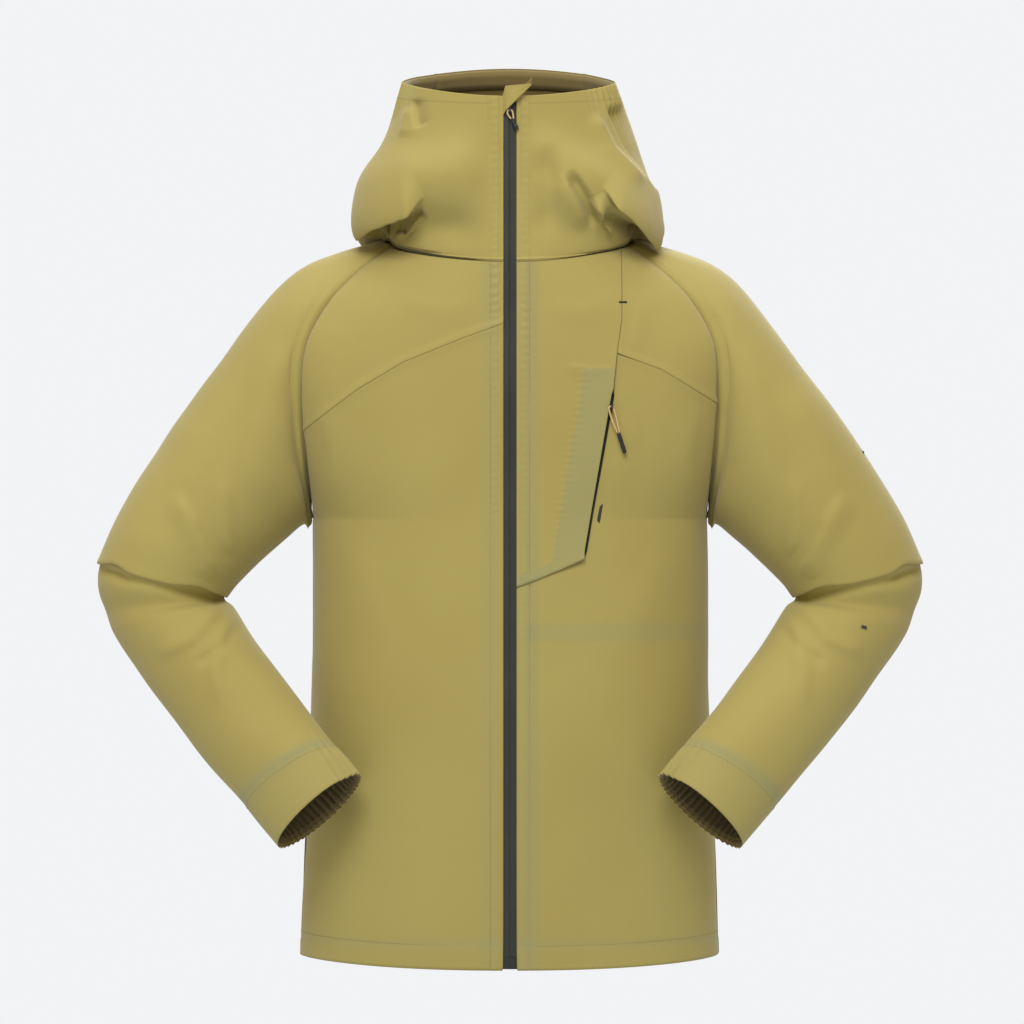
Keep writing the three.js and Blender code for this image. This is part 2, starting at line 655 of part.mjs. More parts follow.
// Each cord lock sits on the hem facing inside, with its sprung button on top.
const LOCK = [9, 9, 14]; // across, deep and tall
const lockDeg = 62;
function placeLock(side) {
  const facingSink = 2 * CLOTH + GAP + HEM_CORD + TUNNEL_ROOM;
  const sign = side === "left" ? 1 : -1;
  const at = body(sign * lockDeg, hemHigh * 0.6);
  const next = body(sign * (lockDeg + 1), hemHigh * 0.6).sub(body(sign * (lockDeg - 1), hemHigh * 0.6));
  const seat = new THREE.Group();
  const inwards = V(next.y, -next.x, 0).normalize();
  if (inwards.dot(V(-at.x, -at.y, 0)) < 0) inwards.negate();
  seat.position.copy(at).addScaledVector(inwards, facingSink + LOCK[1] / 2 + 3 * GAP);
  seat.rotation.z = Math.atan2(inwards.y, inwards.x) - Math.PI / 2;
  jacket.add(seat);
  const [w, d, h] = LOCK.map((x) => x / 2);
  const barrel = solid(block([-w, -d, -h], [w, d, h]));
  const well = solid(block([-w + 2, -d + 2, h - 8], [w - 2, d - 2, h + 1]));
  add(`${side}_hem_cord_lock`, geometryOf(barrel.subtract(well)), mouldedBlack, seat);
  const low = h - 8 + LOCK_TRAVEL + GAP;
  add(
    `${side}_hem_lock_button`,
    block([-w + 2 + GAP, -d + 2 + GAP, low], [w - 2 - GAP, d - 2 - GAP, h + LOCK_TRAVEL + 1]),
    mouldedBlack,
    seat,
  );
}
placeLock("left");
placeLock("right");

// ---- the main zip: its own frame runs up the zip, with +y going inwards ------------
const zip = new THREE.Group();
zip.position.set(0, HEM_FRONT_Y, HEM_Z);
zip.rotation.x = -Math.atan(ZIP_LEAN);
jacket.add(zip);
const upZip = (z) => (z - HEM_Z) * Math.hypot(1, ZIP_LEAN); // along the zip to a height
const tapeBack = TAPE_DEPTH + TAPE;
const coilFront = tapeBack + GAP * 0.75;
const coilBack = coilFront + COIL;
const BOX_HEIGHT = 12;
const BOX_PROUD = 1.6; // the retaining box, in front of the tapes
const PIN_HEIGHT = 8;
const zipBottom = 1.5;
for (const [side, sign] of [["left", 1], ["right", -1]]) {
  const span = (near, far) => [Math.min(sign * near, sign * far), Math.max(sign * near, sign * far)];
  const bar = (near, far, y0, y1, z0, z1) => {
    const [x0, x1] = span(near, far);
    return block([x0, y0, z0], [x1, y1, z1]);
  };
  add(
    `${side}_zip_tape`,
    bar(TAPE_SPLIT, TAPE_HALF, TAPE_DEPTH, tapeBack, zipBottom, upZip(ZIP_TOP_Z)),
    zipTape,
    zip,
  );
  add(
    `${side}_zip_coil`,
    bar(
      TAPE_SPLIT, TAPE_SPLIT + COIL_WIDTH, coilFront, coilBack,
      zipBottom + BOX_HEIGHT + PIN_HEIGHT + GAP, upZip(ZIP_TOP_Z) - 2,
    ),
    mouldedBlack,
    zip,
  );
  add(
    `${side}_zip_stop`,
    bar(
      TAPE_SPLIT + 0.3, TAPE_SPLIT + 3.2, TAPE_DEPTH - GAP - 1, TAPE_DEPTH - GAP,
      upZip(ZIP_TOP_Z) - 3.4, upZip(ZIP_TOP_Z) - 0.6,
    ),
    mouldedBlack,
    zip,
  );
  // The strip of facing that is stitched inside each front, beside the zip.
  const behind = { sink: () => CLOTH + GAP };
  const sheet = solid(panel(front, [0, ...frontAcross.slice(1, 5)], bodyUp, bodyMiddle, behind));
  const stripRegion = [
    [TAPE_HALF + 1, HEM_Z + HEM_FACING + 4],
    [TAPE_HALF + 1 + FACING_WIDTH, HEM_Z + HEM_FACING + 4],
    [TAPE_HALF + 1 + FACING_WIDTH, -4],
    [TAPE_HALF + 1, -4],
  ];
  const strip = geometryOf(sheet.intersect(region(stripRegion)));
  add(`${side}_zip_facing`, side === "left" ? strip : mirroredGeometry(strip), liningCloth);
}
add(
  "zip_box",
  block([-4.8, TAPE_DEPTH - GAP - BOX_PROUD, zipBottom], [4.8, TAPE_DEPTH - GAP, zipBottom + BOX_HEIGHT]),
  mouldedBlack,
  zip,
);
add(
  "zip_pin",
  block(
    [TAPE_SPLIT, coilFront, zipBottom],
    [TAPE_SPLIT + COIL_WIDTH, coilBack, zipBottom + BOX_HEIGHT + PIN_HEIGHT],
  ),
  mouldedBlack,
  zip,
);

// A slider, its pull cord and its grip, round the origin of their group: the tapes' front face
// is at y = tapeFront, and the slit between them lets the slider's post through.
const PIVOT_RISE = 2; // the pull's pivot, below the slider's middle
const POST = 0.7; // width of the post between the tapes
function slider(name, place, tapeFront, back, half, length, strand, grip, panelFront, lean) {
  const front0 = tapeFront - GAP;
  const plate = block([-half, front0 - PLATE, -length / 2], [half, front0, length / 2]);
  const post = block([-POST / 2, front0 - 0.1, -length * 0.2], [POST / 2, back + GAP + 0.1, length * 0.3]);
  const under = block([-half, back + GAP, -length / 2], [half, back + GAP + PLATE, length / 2]);
  const faceY = front0 - PLATE;
  const pivotY = panelFront - GAP - grip.depth / 2;
  const pivotOut = faceY - pivotY;
  const bridgeOut = pivotOut + PULL_CORD / 2 + 1.7;
  const eye = outlineOf(
    [-PIVOT_RISE + 3.4, -0.1], [-PIVOT_RISE + 2.6, bridgeOut], [-PIVOT_RISE - 2.6, bridgeOut],
    [-PIVOT_RISE - 3.4, -0.1],
  );
  const hole = disc(PULL_CORD / 2 + 0.5, 10);
  const holePath = new THREE.Path(
    hole.getPoints().map((p) => new THREE.Vector2(p.x - PIVOT_RISE, p.y + pivotOut)),
  );
  eye.holes.push(holePath);
  const bridge = new THREE.ExtrudeGeometry(eye, { depth: 2, bevelEnabled: false });
  // The outline's x goes up the zip and its y goes out of it.
  bridge.applyMatrix4(new THREE.Matrix4().set(
    0, 0, 1, -1,
    0, -1, 0, faceY,
    1, 0, 0, 0,
    0, 0, 0, 1,
  ));
  add(`${name}_slider`, joined(plate, post, under, bridge), mouldedBlack, place);
  // The loop hangs straight under its eye and then leans.
  const spread = 2.6;
  const leanFrom = 3.6;
  const below = (x, drop) =>
    V(x + Math.max(0, drop - leanFrom) * Math.tan(rad(lean)), pivotY, -PIVOT_RISE - drop);
  const cordPath = [
    below(-1.3, strand),
    below(-spread, strand * 0.55),
    below(-spread, 2.2),
    below(-spread * 0.7, 0.4),
    below(0, 0),
    below(spread * 0.7, 0.4),
    below(spread, 2.2),
    below(spread, strand * 0.55),
    below(1.3, strand),
  ];
  add(`${name}_pull_cord`, sweep(disc(PULL_CORD / 2), cordPath, 24), tanCord, place);
  const gripTop = below(0, strand - GAP + grip.width / 2 * Math.sin(rad(lean)));
  const gripShape = disc(grip.width / 2, 12);
  const gripBody = new THREE.ExtrudeGeometry(gripShape, { depth: grip.length, bevelEnabled: false });
  gripBody.scale(1, grip.depth / grip.width, 1);
  gripBody.translate(0, 0, -grip.length);
  gripBody.rotateY(-rad(lean));
  gripBody.translate(...gripTop.toArray());
  add(`${name}_pull_grip`, gripBody, mouldedBlack, place);
}
const mainSlider = new THREE.Group();
mainSlider.position.z = upZip(SLIDER_REST_Z);
zip.add(mainSlider);
slider(
  "zip", mainSlider, TAPE_DEPTH, coilBack, SLIDER_HALF, SLIDER_LENGTH, 9,
  { width: 5.4, depth: 4, length: 11.5 }, TAPE_DEPTH - GAP - BOX_PROUD, MAIN_PULL_LEAN,
);

// The storm flap behind the zip, fixed beside the right tape.
const flapFront = coilBack + GAP + PLATE + GAP;
const flapProfile = outlineOf(
  [13, flapFront], [-7.5, flapFront], [-10.5, tapeBack + GAP], [-TAPE_HALF, tapeBack + GAP],
  [-TAPE_HALF, tapeBack + GAP + CLOTH], [-11, tapeBack + GAP + CLOTH], [-8.2, flapFront + CLOTH],
  [13, flapFront + CLOTH],
);
const stormFlap = new THREE.ExtrudeGeometry(flapProfile, {
  depth: upZip(ZIP_TOP_Z) - 6 - upZip(HEM_Z + HEM_FACING + 8), bevelEnabled: false,
});
stormFlap.translate(0, 0, upZip(HEM_Z + HEM_FACING + 8));
add("storm_flap", stormFlap, liningCloth, zip);

// The zip garage: a folded corner that stands over the top of the zip from the right. Seen from
// above it rises from the hood's right edge, and seen from the front its free edge is slanted.
const garageY = TAPE_DEPTH - GAP - PLATE - PULL_CORD - GARAGE_ROOM;
const garageProfile = outlineOf(
  [-23, -CLOTH], [-15, garageY / 3], [-9, garageY], [23, garageY], [23, garageY + CLOTH],
  [-8.6, garageY + CLOTH], [-14.4, garageY / 3 + CLOTH], [-22.8, 0],
);
const garageBar = new THREE.ExtrudeGeometry(garageProfile, { depth: 60, bevelEnabled: false });
garageBar.translate(0, 0, -10);
const garageOutline = fromFront([[-30, 0], [-9, 0], [-5.5, 8], [23, 36], [-30, 33]], -40, 20);
const garage = geometryOf(solid(garageBar).intersect(solid(garageOutline)));
garage.translate(0, 0, upZip(SLIDER_REST_Z) - 11);
add("zip_garage", garage, shellCloth, zip);

// ---- the chest pocket ----------------------------------------------------------------
const pocketAt = ([x, z]) => {
  // The point on the left front at this x and z, as seen from the front.
  let [u, v] = [0.5, z < ARMPIT_Z ? -0.1 : 0.5];
  for (let i = 0; i < 60; i += 1) {
    const at = front(u, v);
    u += (x - at.x) / 260;
    v += (z - at.z) / (v < 0 ? -(HEM_Z - ARMPIT_Z) : -ARMPIT_Z);
  }
  return front(u, v);
};
const pocketHigh = pocketAt(POCKET_TOP);
const pocketLow = pocketAt(POCKET_BOTTOM);
const slitUp = pocketHigh.clone().sub(pocketLow).normalize();
const slitX = (z) => mix(POCKET_BOTTOM[0], POCKET_TOP[0], (z - POCKET_BOTTOM[1]) / (POCKET_TOP[1] - POCKET_BOTTOM[1]));
const slitMiddleZ = (POCKET_TOP[1] + POCKET_BOTTOM[1]) / 2;
const beside = pocketAt([slitX(slitMiddleZ) + 10, slitMiddleZ])
  .sub(pocketAt([slitX(slitMiddleZ) - 10, slitMiddleZ]));
const slitIn = slitUp.clone().cross(beside).normalize();
if (slitIn.y < 0) slitIn.negate();
const slitAcross = slitIn.clone().cross(slitUp);
// How far the panels beside the slit dip behind the straight line of the zip.
const dips = steps(12, POCKET_BOTTOM[1] - 6, POCKET_TOP[1] + 6).flatMap((z) =>
  [-POCKET_TAPE_HALF - 1, 0, POCKET_TAPE_HALF + 1].map((x) =>
    pocketAt([slitX(z) + x, z]).sub(pocketLow).dot(slitIn)));
const pocketSeat = Math.max(...dips) + CLOTH + GAP;
const pocketDepth = pocketSeat + PLATE + GAP; // the slider's front plate runs behind the panels
// How far they stand in front of it, as far down as the pull hangs.
const bulges = steps(16, POCKET_BOTTOM[1] - 60, POCKET_TOP[1] + 6).flatMap((z) =>
  [-4, 0, 4, 14, 26].map((x) => pocketAt([slitX(z) + x, z]).sub(pocketLow).dot(slitIn)));
const pocketFrame = new THREE.Group();
pocketFrame.applyMatrix4(
  new THREE.Matrix4().makeBasis(slitAcross, slitIn, slitUp).setPosition(pocketLow),
);
jacket.add(pocketFrame);
const pocketLength = pocketHigh.distanceTo(pocketLow);
const pocketTapeBack = pocketDepth + TAPE;
const pocketCoilFront = pocketTapeBack + GAP * 0.75;
const pocketCoilBack = pocketCoilFront + POCKET_COIL;
for (const [side, sign] of [["outer", 1], ["inner", -1]]) {
  // Each tape lies back behind the slider's plate and comes forward to its panel beyond it.
  const profile = outlineOf(...[
    [TAPE_SPLIT, pocketDepth], [POCKET_SLIDER_HALF + 1, pocketDepth],
    [POCKET_SLIDER_HALF + 3, pocketSeat], [POCKET_TAPE_HALF, pocketSeat],
    [POCKET_TAPE_HALF, pocketSeat + TAPE], [POCKET_SLIDER_HALF + 3.4, pocketSeat + TAPE],
    [POCKET_SLIDER_HALF + 1.4, pocketTapeBack], [TAPE_SPLIT, pocketTapeBack],
  ].map(([x, y]) => [sign * x, y]));
  const tape = new THREE.ExtrudeGeometry(profile, { depth: pocketLength + 8, bevelEnabled: false });
  tape.translate(0, 0, -4);
  add(`pocket_zip_${side}_tape`, tape, zipTape, pocketFrame);
  const [x0, x1] = [sign * TAPE_SPLIT, sign * (TAPE_SPLIT + 2)].sort((a, b) => a - b);
  add(
    `pocket_zip_${side}_coil`,
    block([x0, pocketCoilFront, 0], [x1, pocketCoilBack, pocketLength]),
    mouldedBlack,
    pocketFrame,
  );
}
const pocketSlider = new THREE.Group();
pocketSlider.position.z = pocketLength - POCKET_SLIDER_LENGTH / 2 - 1;
pocketFrame.add(pocketSlider);
slider(
  "pocket", pocketSlider, pocketDepth, pocketCoilBack, POCKET_SLIDER_HALF, POCKET_SLIDER_LENGTH, 25,
  { width: 5.2, depth: 4, length: 22 }, Math.min(...bulges), POCKET_PULL_LEAN,
);

// The pocket's bag: one sheet inside the front, its edges bonded to the panels.
const bagDepth = pocketCoilBack + GAP + PLATE + 2;
const bagShare = (x, low, high, soft) =>
  THREE.MathUtils.smoothstep(Math.min(x - low, high - x), 0, soft);
const bagSink = (u, v) => {
  const at = front(u, v);
  const across = bagShare(at.x, BAG.inner, BAG.outer, 34);
  const upwards = bagShare(at.z, BAG.low, BAG.high, 34);
  return mix(CLOTH + GAP + 0.3, bagDepth, across * upwards);
};
const bagSheet = solid(panel(front, [0, ...frontAcross.slice(1)], bodyUp, bodyMiddle, { sink: bagSink }));
const bagRegion = [
  [BAG.inner, BAG.low], [BAG.outer, BAG.low], [BAG.outer, BAG.high], [BAG.inner, BAG.high],
];
add("pocket_bag", geometryOf(bagSheet.intersect(region(bagRegion))), liningCloth);

// Small pieces sewn on the outside: a bar of stitches above the pocket and two plain tabs.
function patchOn(name, at, inwards, upwards, [width, height, wall], look, inset = 0) {
  const seat = new THREE.Group();
  const across = inwards.clone().cross(upwards).normalize();
  const up = across.clone().cross(inwards).normalize();
  seat.applyMatrix4(new THREE.Matrix4().makeBasis(across, inwards, up).setPosition(at));
  jacket.add(seat);
  const backY = inset - GAP;
  add(name, block([-width / 2, backY - wall, -height / 2], [width / 2, backY, height / 2]), look, seat);
}
const upAxis = V(0, 0, 1);
const tackAt = pocketAt(POCKET_TACK);
const tackAcross = pocketAt([POCKET_TACK[0] + 5, POCKET_TACK[1]]).sub(tackAt);
const tackUp = pocketAt([POCKET_TACK[0], POCKET_TACK[1] + 5]).sub(tackAt);
const tackIn = tackUp.clone().cross(tackAcross).normalize();
if (tackIn.y < 0) tackIn.negate();
patchOn("pocket_bar_tack", tackAt, tackIn, upAxis, [8, 2.2, 0.8], mouldedBlack);
// The tabs sit between the ridges of the sleeves' facets, a little inside the true curve.
for (const [name, point, t, inset] of [
  ["upper_sleeve_tab", (u, v) => sleeve(upperRows, u, v), UPPER_TAB, 0.8],
  ["forearm_tab", forearm, FOREARM_TAB, 0],
]) {
  const at = point(...t);
  const turnwise = point(t[0] + 0.01, t[1]).sub(at);
  const lengthwise = point(t[0], t[1] + 0.01).sub(at);
  const inwards = turnwise.clone().cross(lengthwise).normalize();
  const middle = name === "forearm_tab" ? forearmMiddle(at) : sleeveMiddle(upperRows)(at);
  if (inwards.dot(middle.sub(at)) < 0) inwards.negate();
  patchOn(`left_${name}`, at, inwards, turnwise, [3, 8, 0.6], mouldedBlack, inset);
}

// ---- inside the back of the neck ------------------------------------------------------
const neckInside = back(0, LOOP_LEVEL);
const loopEnd = V(LOOP_HALF, neckInside.y - CLOTH - GAP - 1.6, neckInside.z - 4);
const loopTop = V(0, neckInside.y - CLOTH - GAP - 7, neckInside.z + 7);
add(
  "hanger_loop",
  sweep(
    outlineOf([-0.6, -3], [0.6, -3], [0.6, 3], [-0.6, 3]),
    [
      V(-loopEnd.x, loopEnd.y, loopEnd.z), V(-loopEnd.x * 0.7, mix(loopEnd.y, loopTop.y, 0.6), loopEnd.z + 4),
      loopTop, V(loopEnd.x * 0.7, mix(loopEnd.y, loopTop.y, 0.6), loopEnd.z + 4), loopEnd,
    ],
    16,
  ),
  shellCloth,
);
const labelSheet = solid(panel(
  back, backAcross, steps(4, LABEL_LOW, LABEL_HIGH), bodyMiddle, { sink: () => CLOTH + GAP, wall: 0.6 },
));
const labelHalf = LABEL_WIDTH / 2;
add(
  "neck_label",
  geometryOf(labelSheet.intersect(solid(block([-labelHalf, 0, -FAR], [labelHalf, FAR, FAR])))),
  liningCloth,
);

export default jacket;
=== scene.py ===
from functools import partial
import bpy
import numpy as np
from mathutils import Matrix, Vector


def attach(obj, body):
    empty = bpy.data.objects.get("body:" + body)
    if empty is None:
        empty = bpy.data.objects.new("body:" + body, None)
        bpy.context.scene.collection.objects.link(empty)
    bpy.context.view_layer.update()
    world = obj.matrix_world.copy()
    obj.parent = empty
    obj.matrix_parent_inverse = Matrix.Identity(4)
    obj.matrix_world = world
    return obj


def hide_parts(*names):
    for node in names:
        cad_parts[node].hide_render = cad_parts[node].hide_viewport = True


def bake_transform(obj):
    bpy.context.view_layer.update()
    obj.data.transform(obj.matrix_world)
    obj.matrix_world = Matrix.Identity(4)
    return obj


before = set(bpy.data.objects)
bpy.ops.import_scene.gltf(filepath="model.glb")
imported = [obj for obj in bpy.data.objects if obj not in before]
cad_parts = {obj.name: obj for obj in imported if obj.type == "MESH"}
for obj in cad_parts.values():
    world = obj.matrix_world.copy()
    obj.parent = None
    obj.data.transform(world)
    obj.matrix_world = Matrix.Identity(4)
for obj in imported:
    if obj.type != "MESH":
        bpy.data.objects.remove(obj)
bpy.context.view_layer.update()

# ---- The camera -------------------------------------------------------------------
# A long lens level with the chest, straight in front, so that the jacket shows almost
# without perspective. Metres.
camera_data = bpy.data.cameras.new("camera")
sensor_width, camera_distance, frame_height = 36, 6.0, 1.0752
chest_front_y, frame_middle = -0.03, (0.0021, -0.2604)
camera_data.sensor_width = sensor_width
camera_data.lens = sensor_width * camera_distance / frame_height
camera = bpy.data.objects.new("camera", camera_data)
camera.location = (frame_middle[0], chest_front_y - camera_distance, frame_middle[1])
camera.rotation_euler = (np.pi / 2, 0, 0)
bpy.context.scene.collection.objects.link(camera)
bpy.context.scene.camera = camera

# ---- The pocket slider's pull -------------------------------------------------------
# A loop of thin round braided cord through the slider's eye, with both of its ends
# moulded into a twisted rubber grip. The cord is tan, the grip is black. The sizes of
# this section and all the ones below are in millimetres, in the jacket's own frame.


def mix(a, b, share):
    """The value that lies that share of the way from a to b."""
    return a + (b - a) * share


def smooth(low, high, x):
    """0 below low, 1 above high, and an even curve between them."""
    s = np.clip((x - low) / (high - low), 0, 1)
    return s * s * (3 - 2 * s)


def along(rows, t):
    """Rows of numbers whose first column rises: the others at each t, on a cubic curve
    whose slope at a row is the slope of the line between its two neighbours."""
    rows = np.asarray(rows, float)
    t = np.asarray(t, float)
    i = np.clip(np.searchsorted(rows[:, 0], t) - 1, 0, len(rows) - 2)
    a, b = rows[i], rows[i + 1]
    before, after = rows[np.maximum(i - 1, 0)], rows[np.minimum(i + 2, len(rows) - 1)]
    span = b[..., :1] - a[..., :1]
    s = np.clip((t[..., None] - a[..., :1]) / span, 0, 1)
    slope_in = (b - before)[..., 1:] / (b - before)[..., :1] * span
    slope_out = (after - a)[..., 1:] / (after - a)[..., :1] * span
    return (
        a[..., 1:] * (1 + 2 * s) * (1 - s) ** 2 + b[..., 1:] * s * s * (3 - 2 * s)
        + slope_in * s * (1 - s) ** 2 - slope_out * s * s * (1 - s)
    )


def distance_along(path):
    """The distance from a line's start to each of its points."""
    return np.append(0, np.cumsum(np.linalg.norm(np.diff(path, axis=0), axis=1)))


def evenly(path, count):
    """The same line with its points an equal distance apart."""
    reach = distance_along(path)
    return along(np.column_stack([reach, path]), np.linspace(0, reach[-1], count))


def bell(x, width):
    """1 where x is 0, falling off on both sides as e to the power of minus the square of
    x over the width."""
    return np.exp(-(x / width) ** 2)


def unit(v):
    """Each vector at length 1."""
    return v / np.maximum(np.linalg.norm(v, axis=-1, keepdims=True), 1e-12)


def quads(rows, columns, around):
    """Row and column of the four corners of each cell of a grid, (cells, 4) each."""
    r, c = np.mgrid[0:rows - 1, 0:columns if around else columns - 1]
    r, c = r.reshape(-1, 1), c.reshape(-1, 1)
    return r + [[0, 0, 1, 1]], c + [[0, 1, 1, 0]]


def put(name, points, faces, materials, kinds=None, uv=None, worn=None):
    """A mesh object from points in millimetres and its faces. kinds is each face's
    material, uv each corner's place on the cloth, and worn an attribute per point."""
    mesh = bpy.data.meshes.new(name)
    mesh.from_pydata(points / 1000, [], faces)
    for material in materials:
        mesh.materials.append(material)
    if kinds is not None:
        mesh.polygons.foreach_set("material_index", kinds)
    mesh.polygons.foreach_set("use_smooth", np.ones(len(mesh.polygons), bool))
    if uv is not None:
        mesh.uv_layers.new(name="cloth").data.foreach_set("uv", uv.ravel().astype(np.float32))
    if worn is not None:
        bonded = mesh.attributes.new("bonded", "FLOAT", "POINT")
        bonded.data.foreach_set("value", worn.ravel().astype(np.float32))
    mesh.update()
    piece = bpy.data.objects.new(name, mesh)
    bpy.context.scene.collection.objects.link(piece)
    return piece


def bar(name, path, profile, material, side, taper=1.0):
    """A closed outline carried along a path. Each outline point (across, out) is laid on
    the path's sideways vector, which is at a right angle to it and nearest to side, and
    on the vector square to both. taper scales it at each point of the path."""
    path = np.asarray(path, float)
    ahead = unit(np.gradient(path, axis=0))
    sideways = unit(side - ahead * (ahead @ np.asarray(side, float))[:, None])
    out = np.cross(ahead, sideways)
    scale = np.broadcast_to(taper, len(path))[:, None]
    a, b = profile[:, 0] * scale, profile[:, 1] * scale
    grid = path[:, None] + a[..., None] * sideways[:, None] + b[..., None] * out[:, None]
    rows, columns = grid.shape[:2]
    r, c = quads(rows, columns, True)
    faces = (r * columns + c % columns).tolist()
    faces.append(list(range(columns))[::-1])
    faces.append([(rows - 1) * columns + i for i in range(columns)])
    girth = distance_along(profile[list(range(columns)) + [0]])[-1]
    uv = np.stack([c / columns * girth, distance_along(path)[r]], -1).reshape(-1, 2)
    uv = np.concatenate([uv, np.zeros((2 * columns, 2))]) / 1000
    return put(name, grid.reshape(-1, 3), faces, [material], uv=uv)


def fit(piece, body, slot, *nodes):
    """Lets a piece ride on its body and stand for nodes. The slot is not used."""
    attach(piece, body)
    if nodes:
        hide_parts(*nodes)


def ring(width, depth, sides):
    """An oval outline, anticlockwise."""
    turn = np.linspace(0, 2 * np.pi, sides, endpoint=False)
    return np.column_stack([width / 2 * np.cos(turn), depth / 2 * np.sin(turn)])


def finish_of(name, colour, roughness, sheen=0.0):
    """A new material and its shader, with the constants on the shader's own sockets."""
    material = bpy.data.materials.new(name)
    material.use_nodes = True
    shader = material.node_tree.nodes["Principled BSDF"]
    shader.inputs["Base Color"].default_value = (*colour, 1)
    shader.inputs["Roughness"].default_value = roughness
    shader.inputs["Sheen Weight"].default_value = sheen
    shader.inputs["Sheen Roughness"].default_value = 0.5
    shader.inputs["Specular IOR Level"].default_value = 0.3
    return material, material.node_tree, shader


def node(tree, kind, settings=(), **inputs):
    """A node with its settings and inputs; an input is a value or another node's output."""
    made = tree.nodes.new("ShaderNode" + kind)
    for key, value in dict(settings).items():
        setattr(made, key, value)
    for key, value in inputs.items():
        socket = made.inputs[int(key[1:])] if key[0] == "_" else made.inputs[key]
        if isinstance(value, bpy.types.NodeSocket):
            tree.links.new(value, socket)
        else:
            socket.default_value = value
    return made


def rippled(tree, shader, height, strength, distance):
    """The shader's bump from a height between 0 and 1, that many metres deep."""
    bump = node(tree, "Bump", Strength=strength, Distance=distance, Height=height)
    tree.links.new(bump.outputs["Normal"], shader.inputs["Normal"])


def coloured(tree, shader, share, dark, light):
    """The shader's colour, from dark to light by a share between 0 and 1."""
    blend = node(tree, "Mix", {"data_type": "RGBA"}, _0=share, _6=(*dark, 1), _7=(*light, 1))
    tree.links.new(blend.outputs[2], shader.inputs["Base Color"])
    return blend


def braid(name, dark, light):
    """Braided cord: two sets of strands that wind round it in opposite directions."""
    material, tree, shader = finish_of(name, light, 0.8, 0.2)
    place = node(tree, "TexCoord").outputs["UV"]
    turned = [node(tree, "Mapping", Vector=place, Rotation=(0, 0, turn)).outputs[0]
              for turn in (0.8, -0.8)]
    strands = [
        node(tree, "TexWave", Vector=v, Scale=260.0, Distortion=0.6).outputs["Fac"] for v in turned
    ]
    both = node(tree, "Math", {"operation": "MAXIMUM"}, _0=strands[0], _1=strands[1]).outputs[0]
    # The colour is darker between the strands, by the same height as the bump: painted shade in the
    # grooves between them.
    coloured(tree, shader, both, dark, light)
    rippled(tree, shader, both, 0.8, 0.0003)
    return material


def rubber(name, dark, light):
    """Moulded rubber or nylon, with the fine spark-eroded grain of its mould."""
    material, tree, shader = finish_of(name, dark, 0.42)
    place = node(tree, "TexCoord").outputs["Object"]
    grain = node(tree, "TexNoise", Vector=place, Scale=2600.0, Detail=3.0).outputs["Fac"]
    patches = node(tree, "TexNoise", Vector=place, Scale=160.0, Detail=2.0).outputs["Fac"]
    coloured(tree, shader, patches, dark, light)
    rough = node(tree, "MapRange", _0=patches, _3=0.34, _4=0.55).outputs[0]
    tree.links.new(rough, shader.inputs["Roughness"])
    rippled(tree, shader, grain, 0.35, 0.0001)
    return material


cord_look = braid("tan braid", (0.34, 0.2, 0.08), (0.78, 0.58, 0.32))
grip_look = rubber("black rubber", (0.012, 0.014, 0.016), (0.035, 0.038, 0.042))
CORD = 1.8
PIVOT_RISE = 2.0
LEAN_FROM = 3.6


class Pull:
    """A slider's own axes and the sizes of its pull: it hangs straight under its eye, and
    further down it leans to the wearer's left by lean degrees."""

    def __init__(self, origin, across, inwards, up, pivot, strand, lean, grip):
        self.origin, self.across = np.array(origin), np.array(across)
        self.inwards, self.up = np.array(inwards), np.array(up)
        self.pivot, self.strand, self.slope, self.grip = pivot, strand, np.radians(lean), grip

    def at(self, x, drop, out=0.0):
        """A point that far to the side, under the eye and in front of the pull's middle."""
        x, drop = np.broadcast_arrays(np.asarray(x, float), np.asarray(drop, float))
        lean = np.maximum(0, drop - LEAN_FROM) * np.tan(self.slope)
        return (
            self.origin + (x + lean)[..., None] * self.across
            + (self.pivot - out) * self.inwards - (PIVOT_RISE + drop)[..., None] * self.up
        )

    def loop(self, count):
        """The cord's middle line, up one strand, through the eye and down the other."""
        side = [1.3, 2.6, 2.6, 1.82, 0, -1.82, -2.6, -2.6, -1.3]
        drop = np.array([1, 0.55, 0, 0, 0, 0, 0, 0.55, 1]) * self.strand
        drop[2:7] = [2.2, 0.4, 0, 0.4, 2.2]
        return evenly(self.at(-np.array(side), drop), count)

    def make(self, name, body):
        """The cord's loop and the grip, both riding on that body."""
        line = self.loop(60)
        cord = bar(name + "_cord", line, ring(CORD, CORD, 14), cord_look, self.inwards)
        width, depth, length = self.grip
        top = self.at(0, self.strand - 0.4 + width / 2 * np.sin(self.slope))
        down = unit(self.across * np.tan(self.slope) - self.up)
        t = np.linspace(0, 1, 72)
        ends = np.sqrt(np.clip(1 - (np.abs(2 * t - 1) / 1.02) ** 16, 0.02, 1))
        turn = np.linspace(0, 2 * np.pi, 40, endpoint=False)
        lobes = 1 - 0.17 * np.cos(2 * turn) ** 2 + 0.06 * np.cos(4 * turn)
        shape = ring(width * 0.98, depth * 0.98, 40) * lobes[:, None]
        path = top + t[:, None] * length * down
        waist = 1 - 0.16 * np.sin(np.pi * t * 3) ** 2 * np.sin(np.pi * t)
        grip = bar(
            name + "_grip", path, shape, grip_look, self.across, taper=ends * waist,
        )
        fit(cord, body, "tan_cord", name + "_cord")
        fit(grip, body, "moulded_black", name + "_grip")
        return cord, grip, line


pocket_pull = Pull(
    (104.881749, -116.157037, -149.401021), (0.97551, 0.134755, -0.173844),
    (-0.137053, 0.990563, -0.001224), (0.172039, 0.02502, 0.984772), -4.924, 25, 28, (5.2, 4, 22),
)
pocket_cord, pocket_grip, pocket_line = pocket_pull.make("pocket_pull", "pocket_zip_pull")

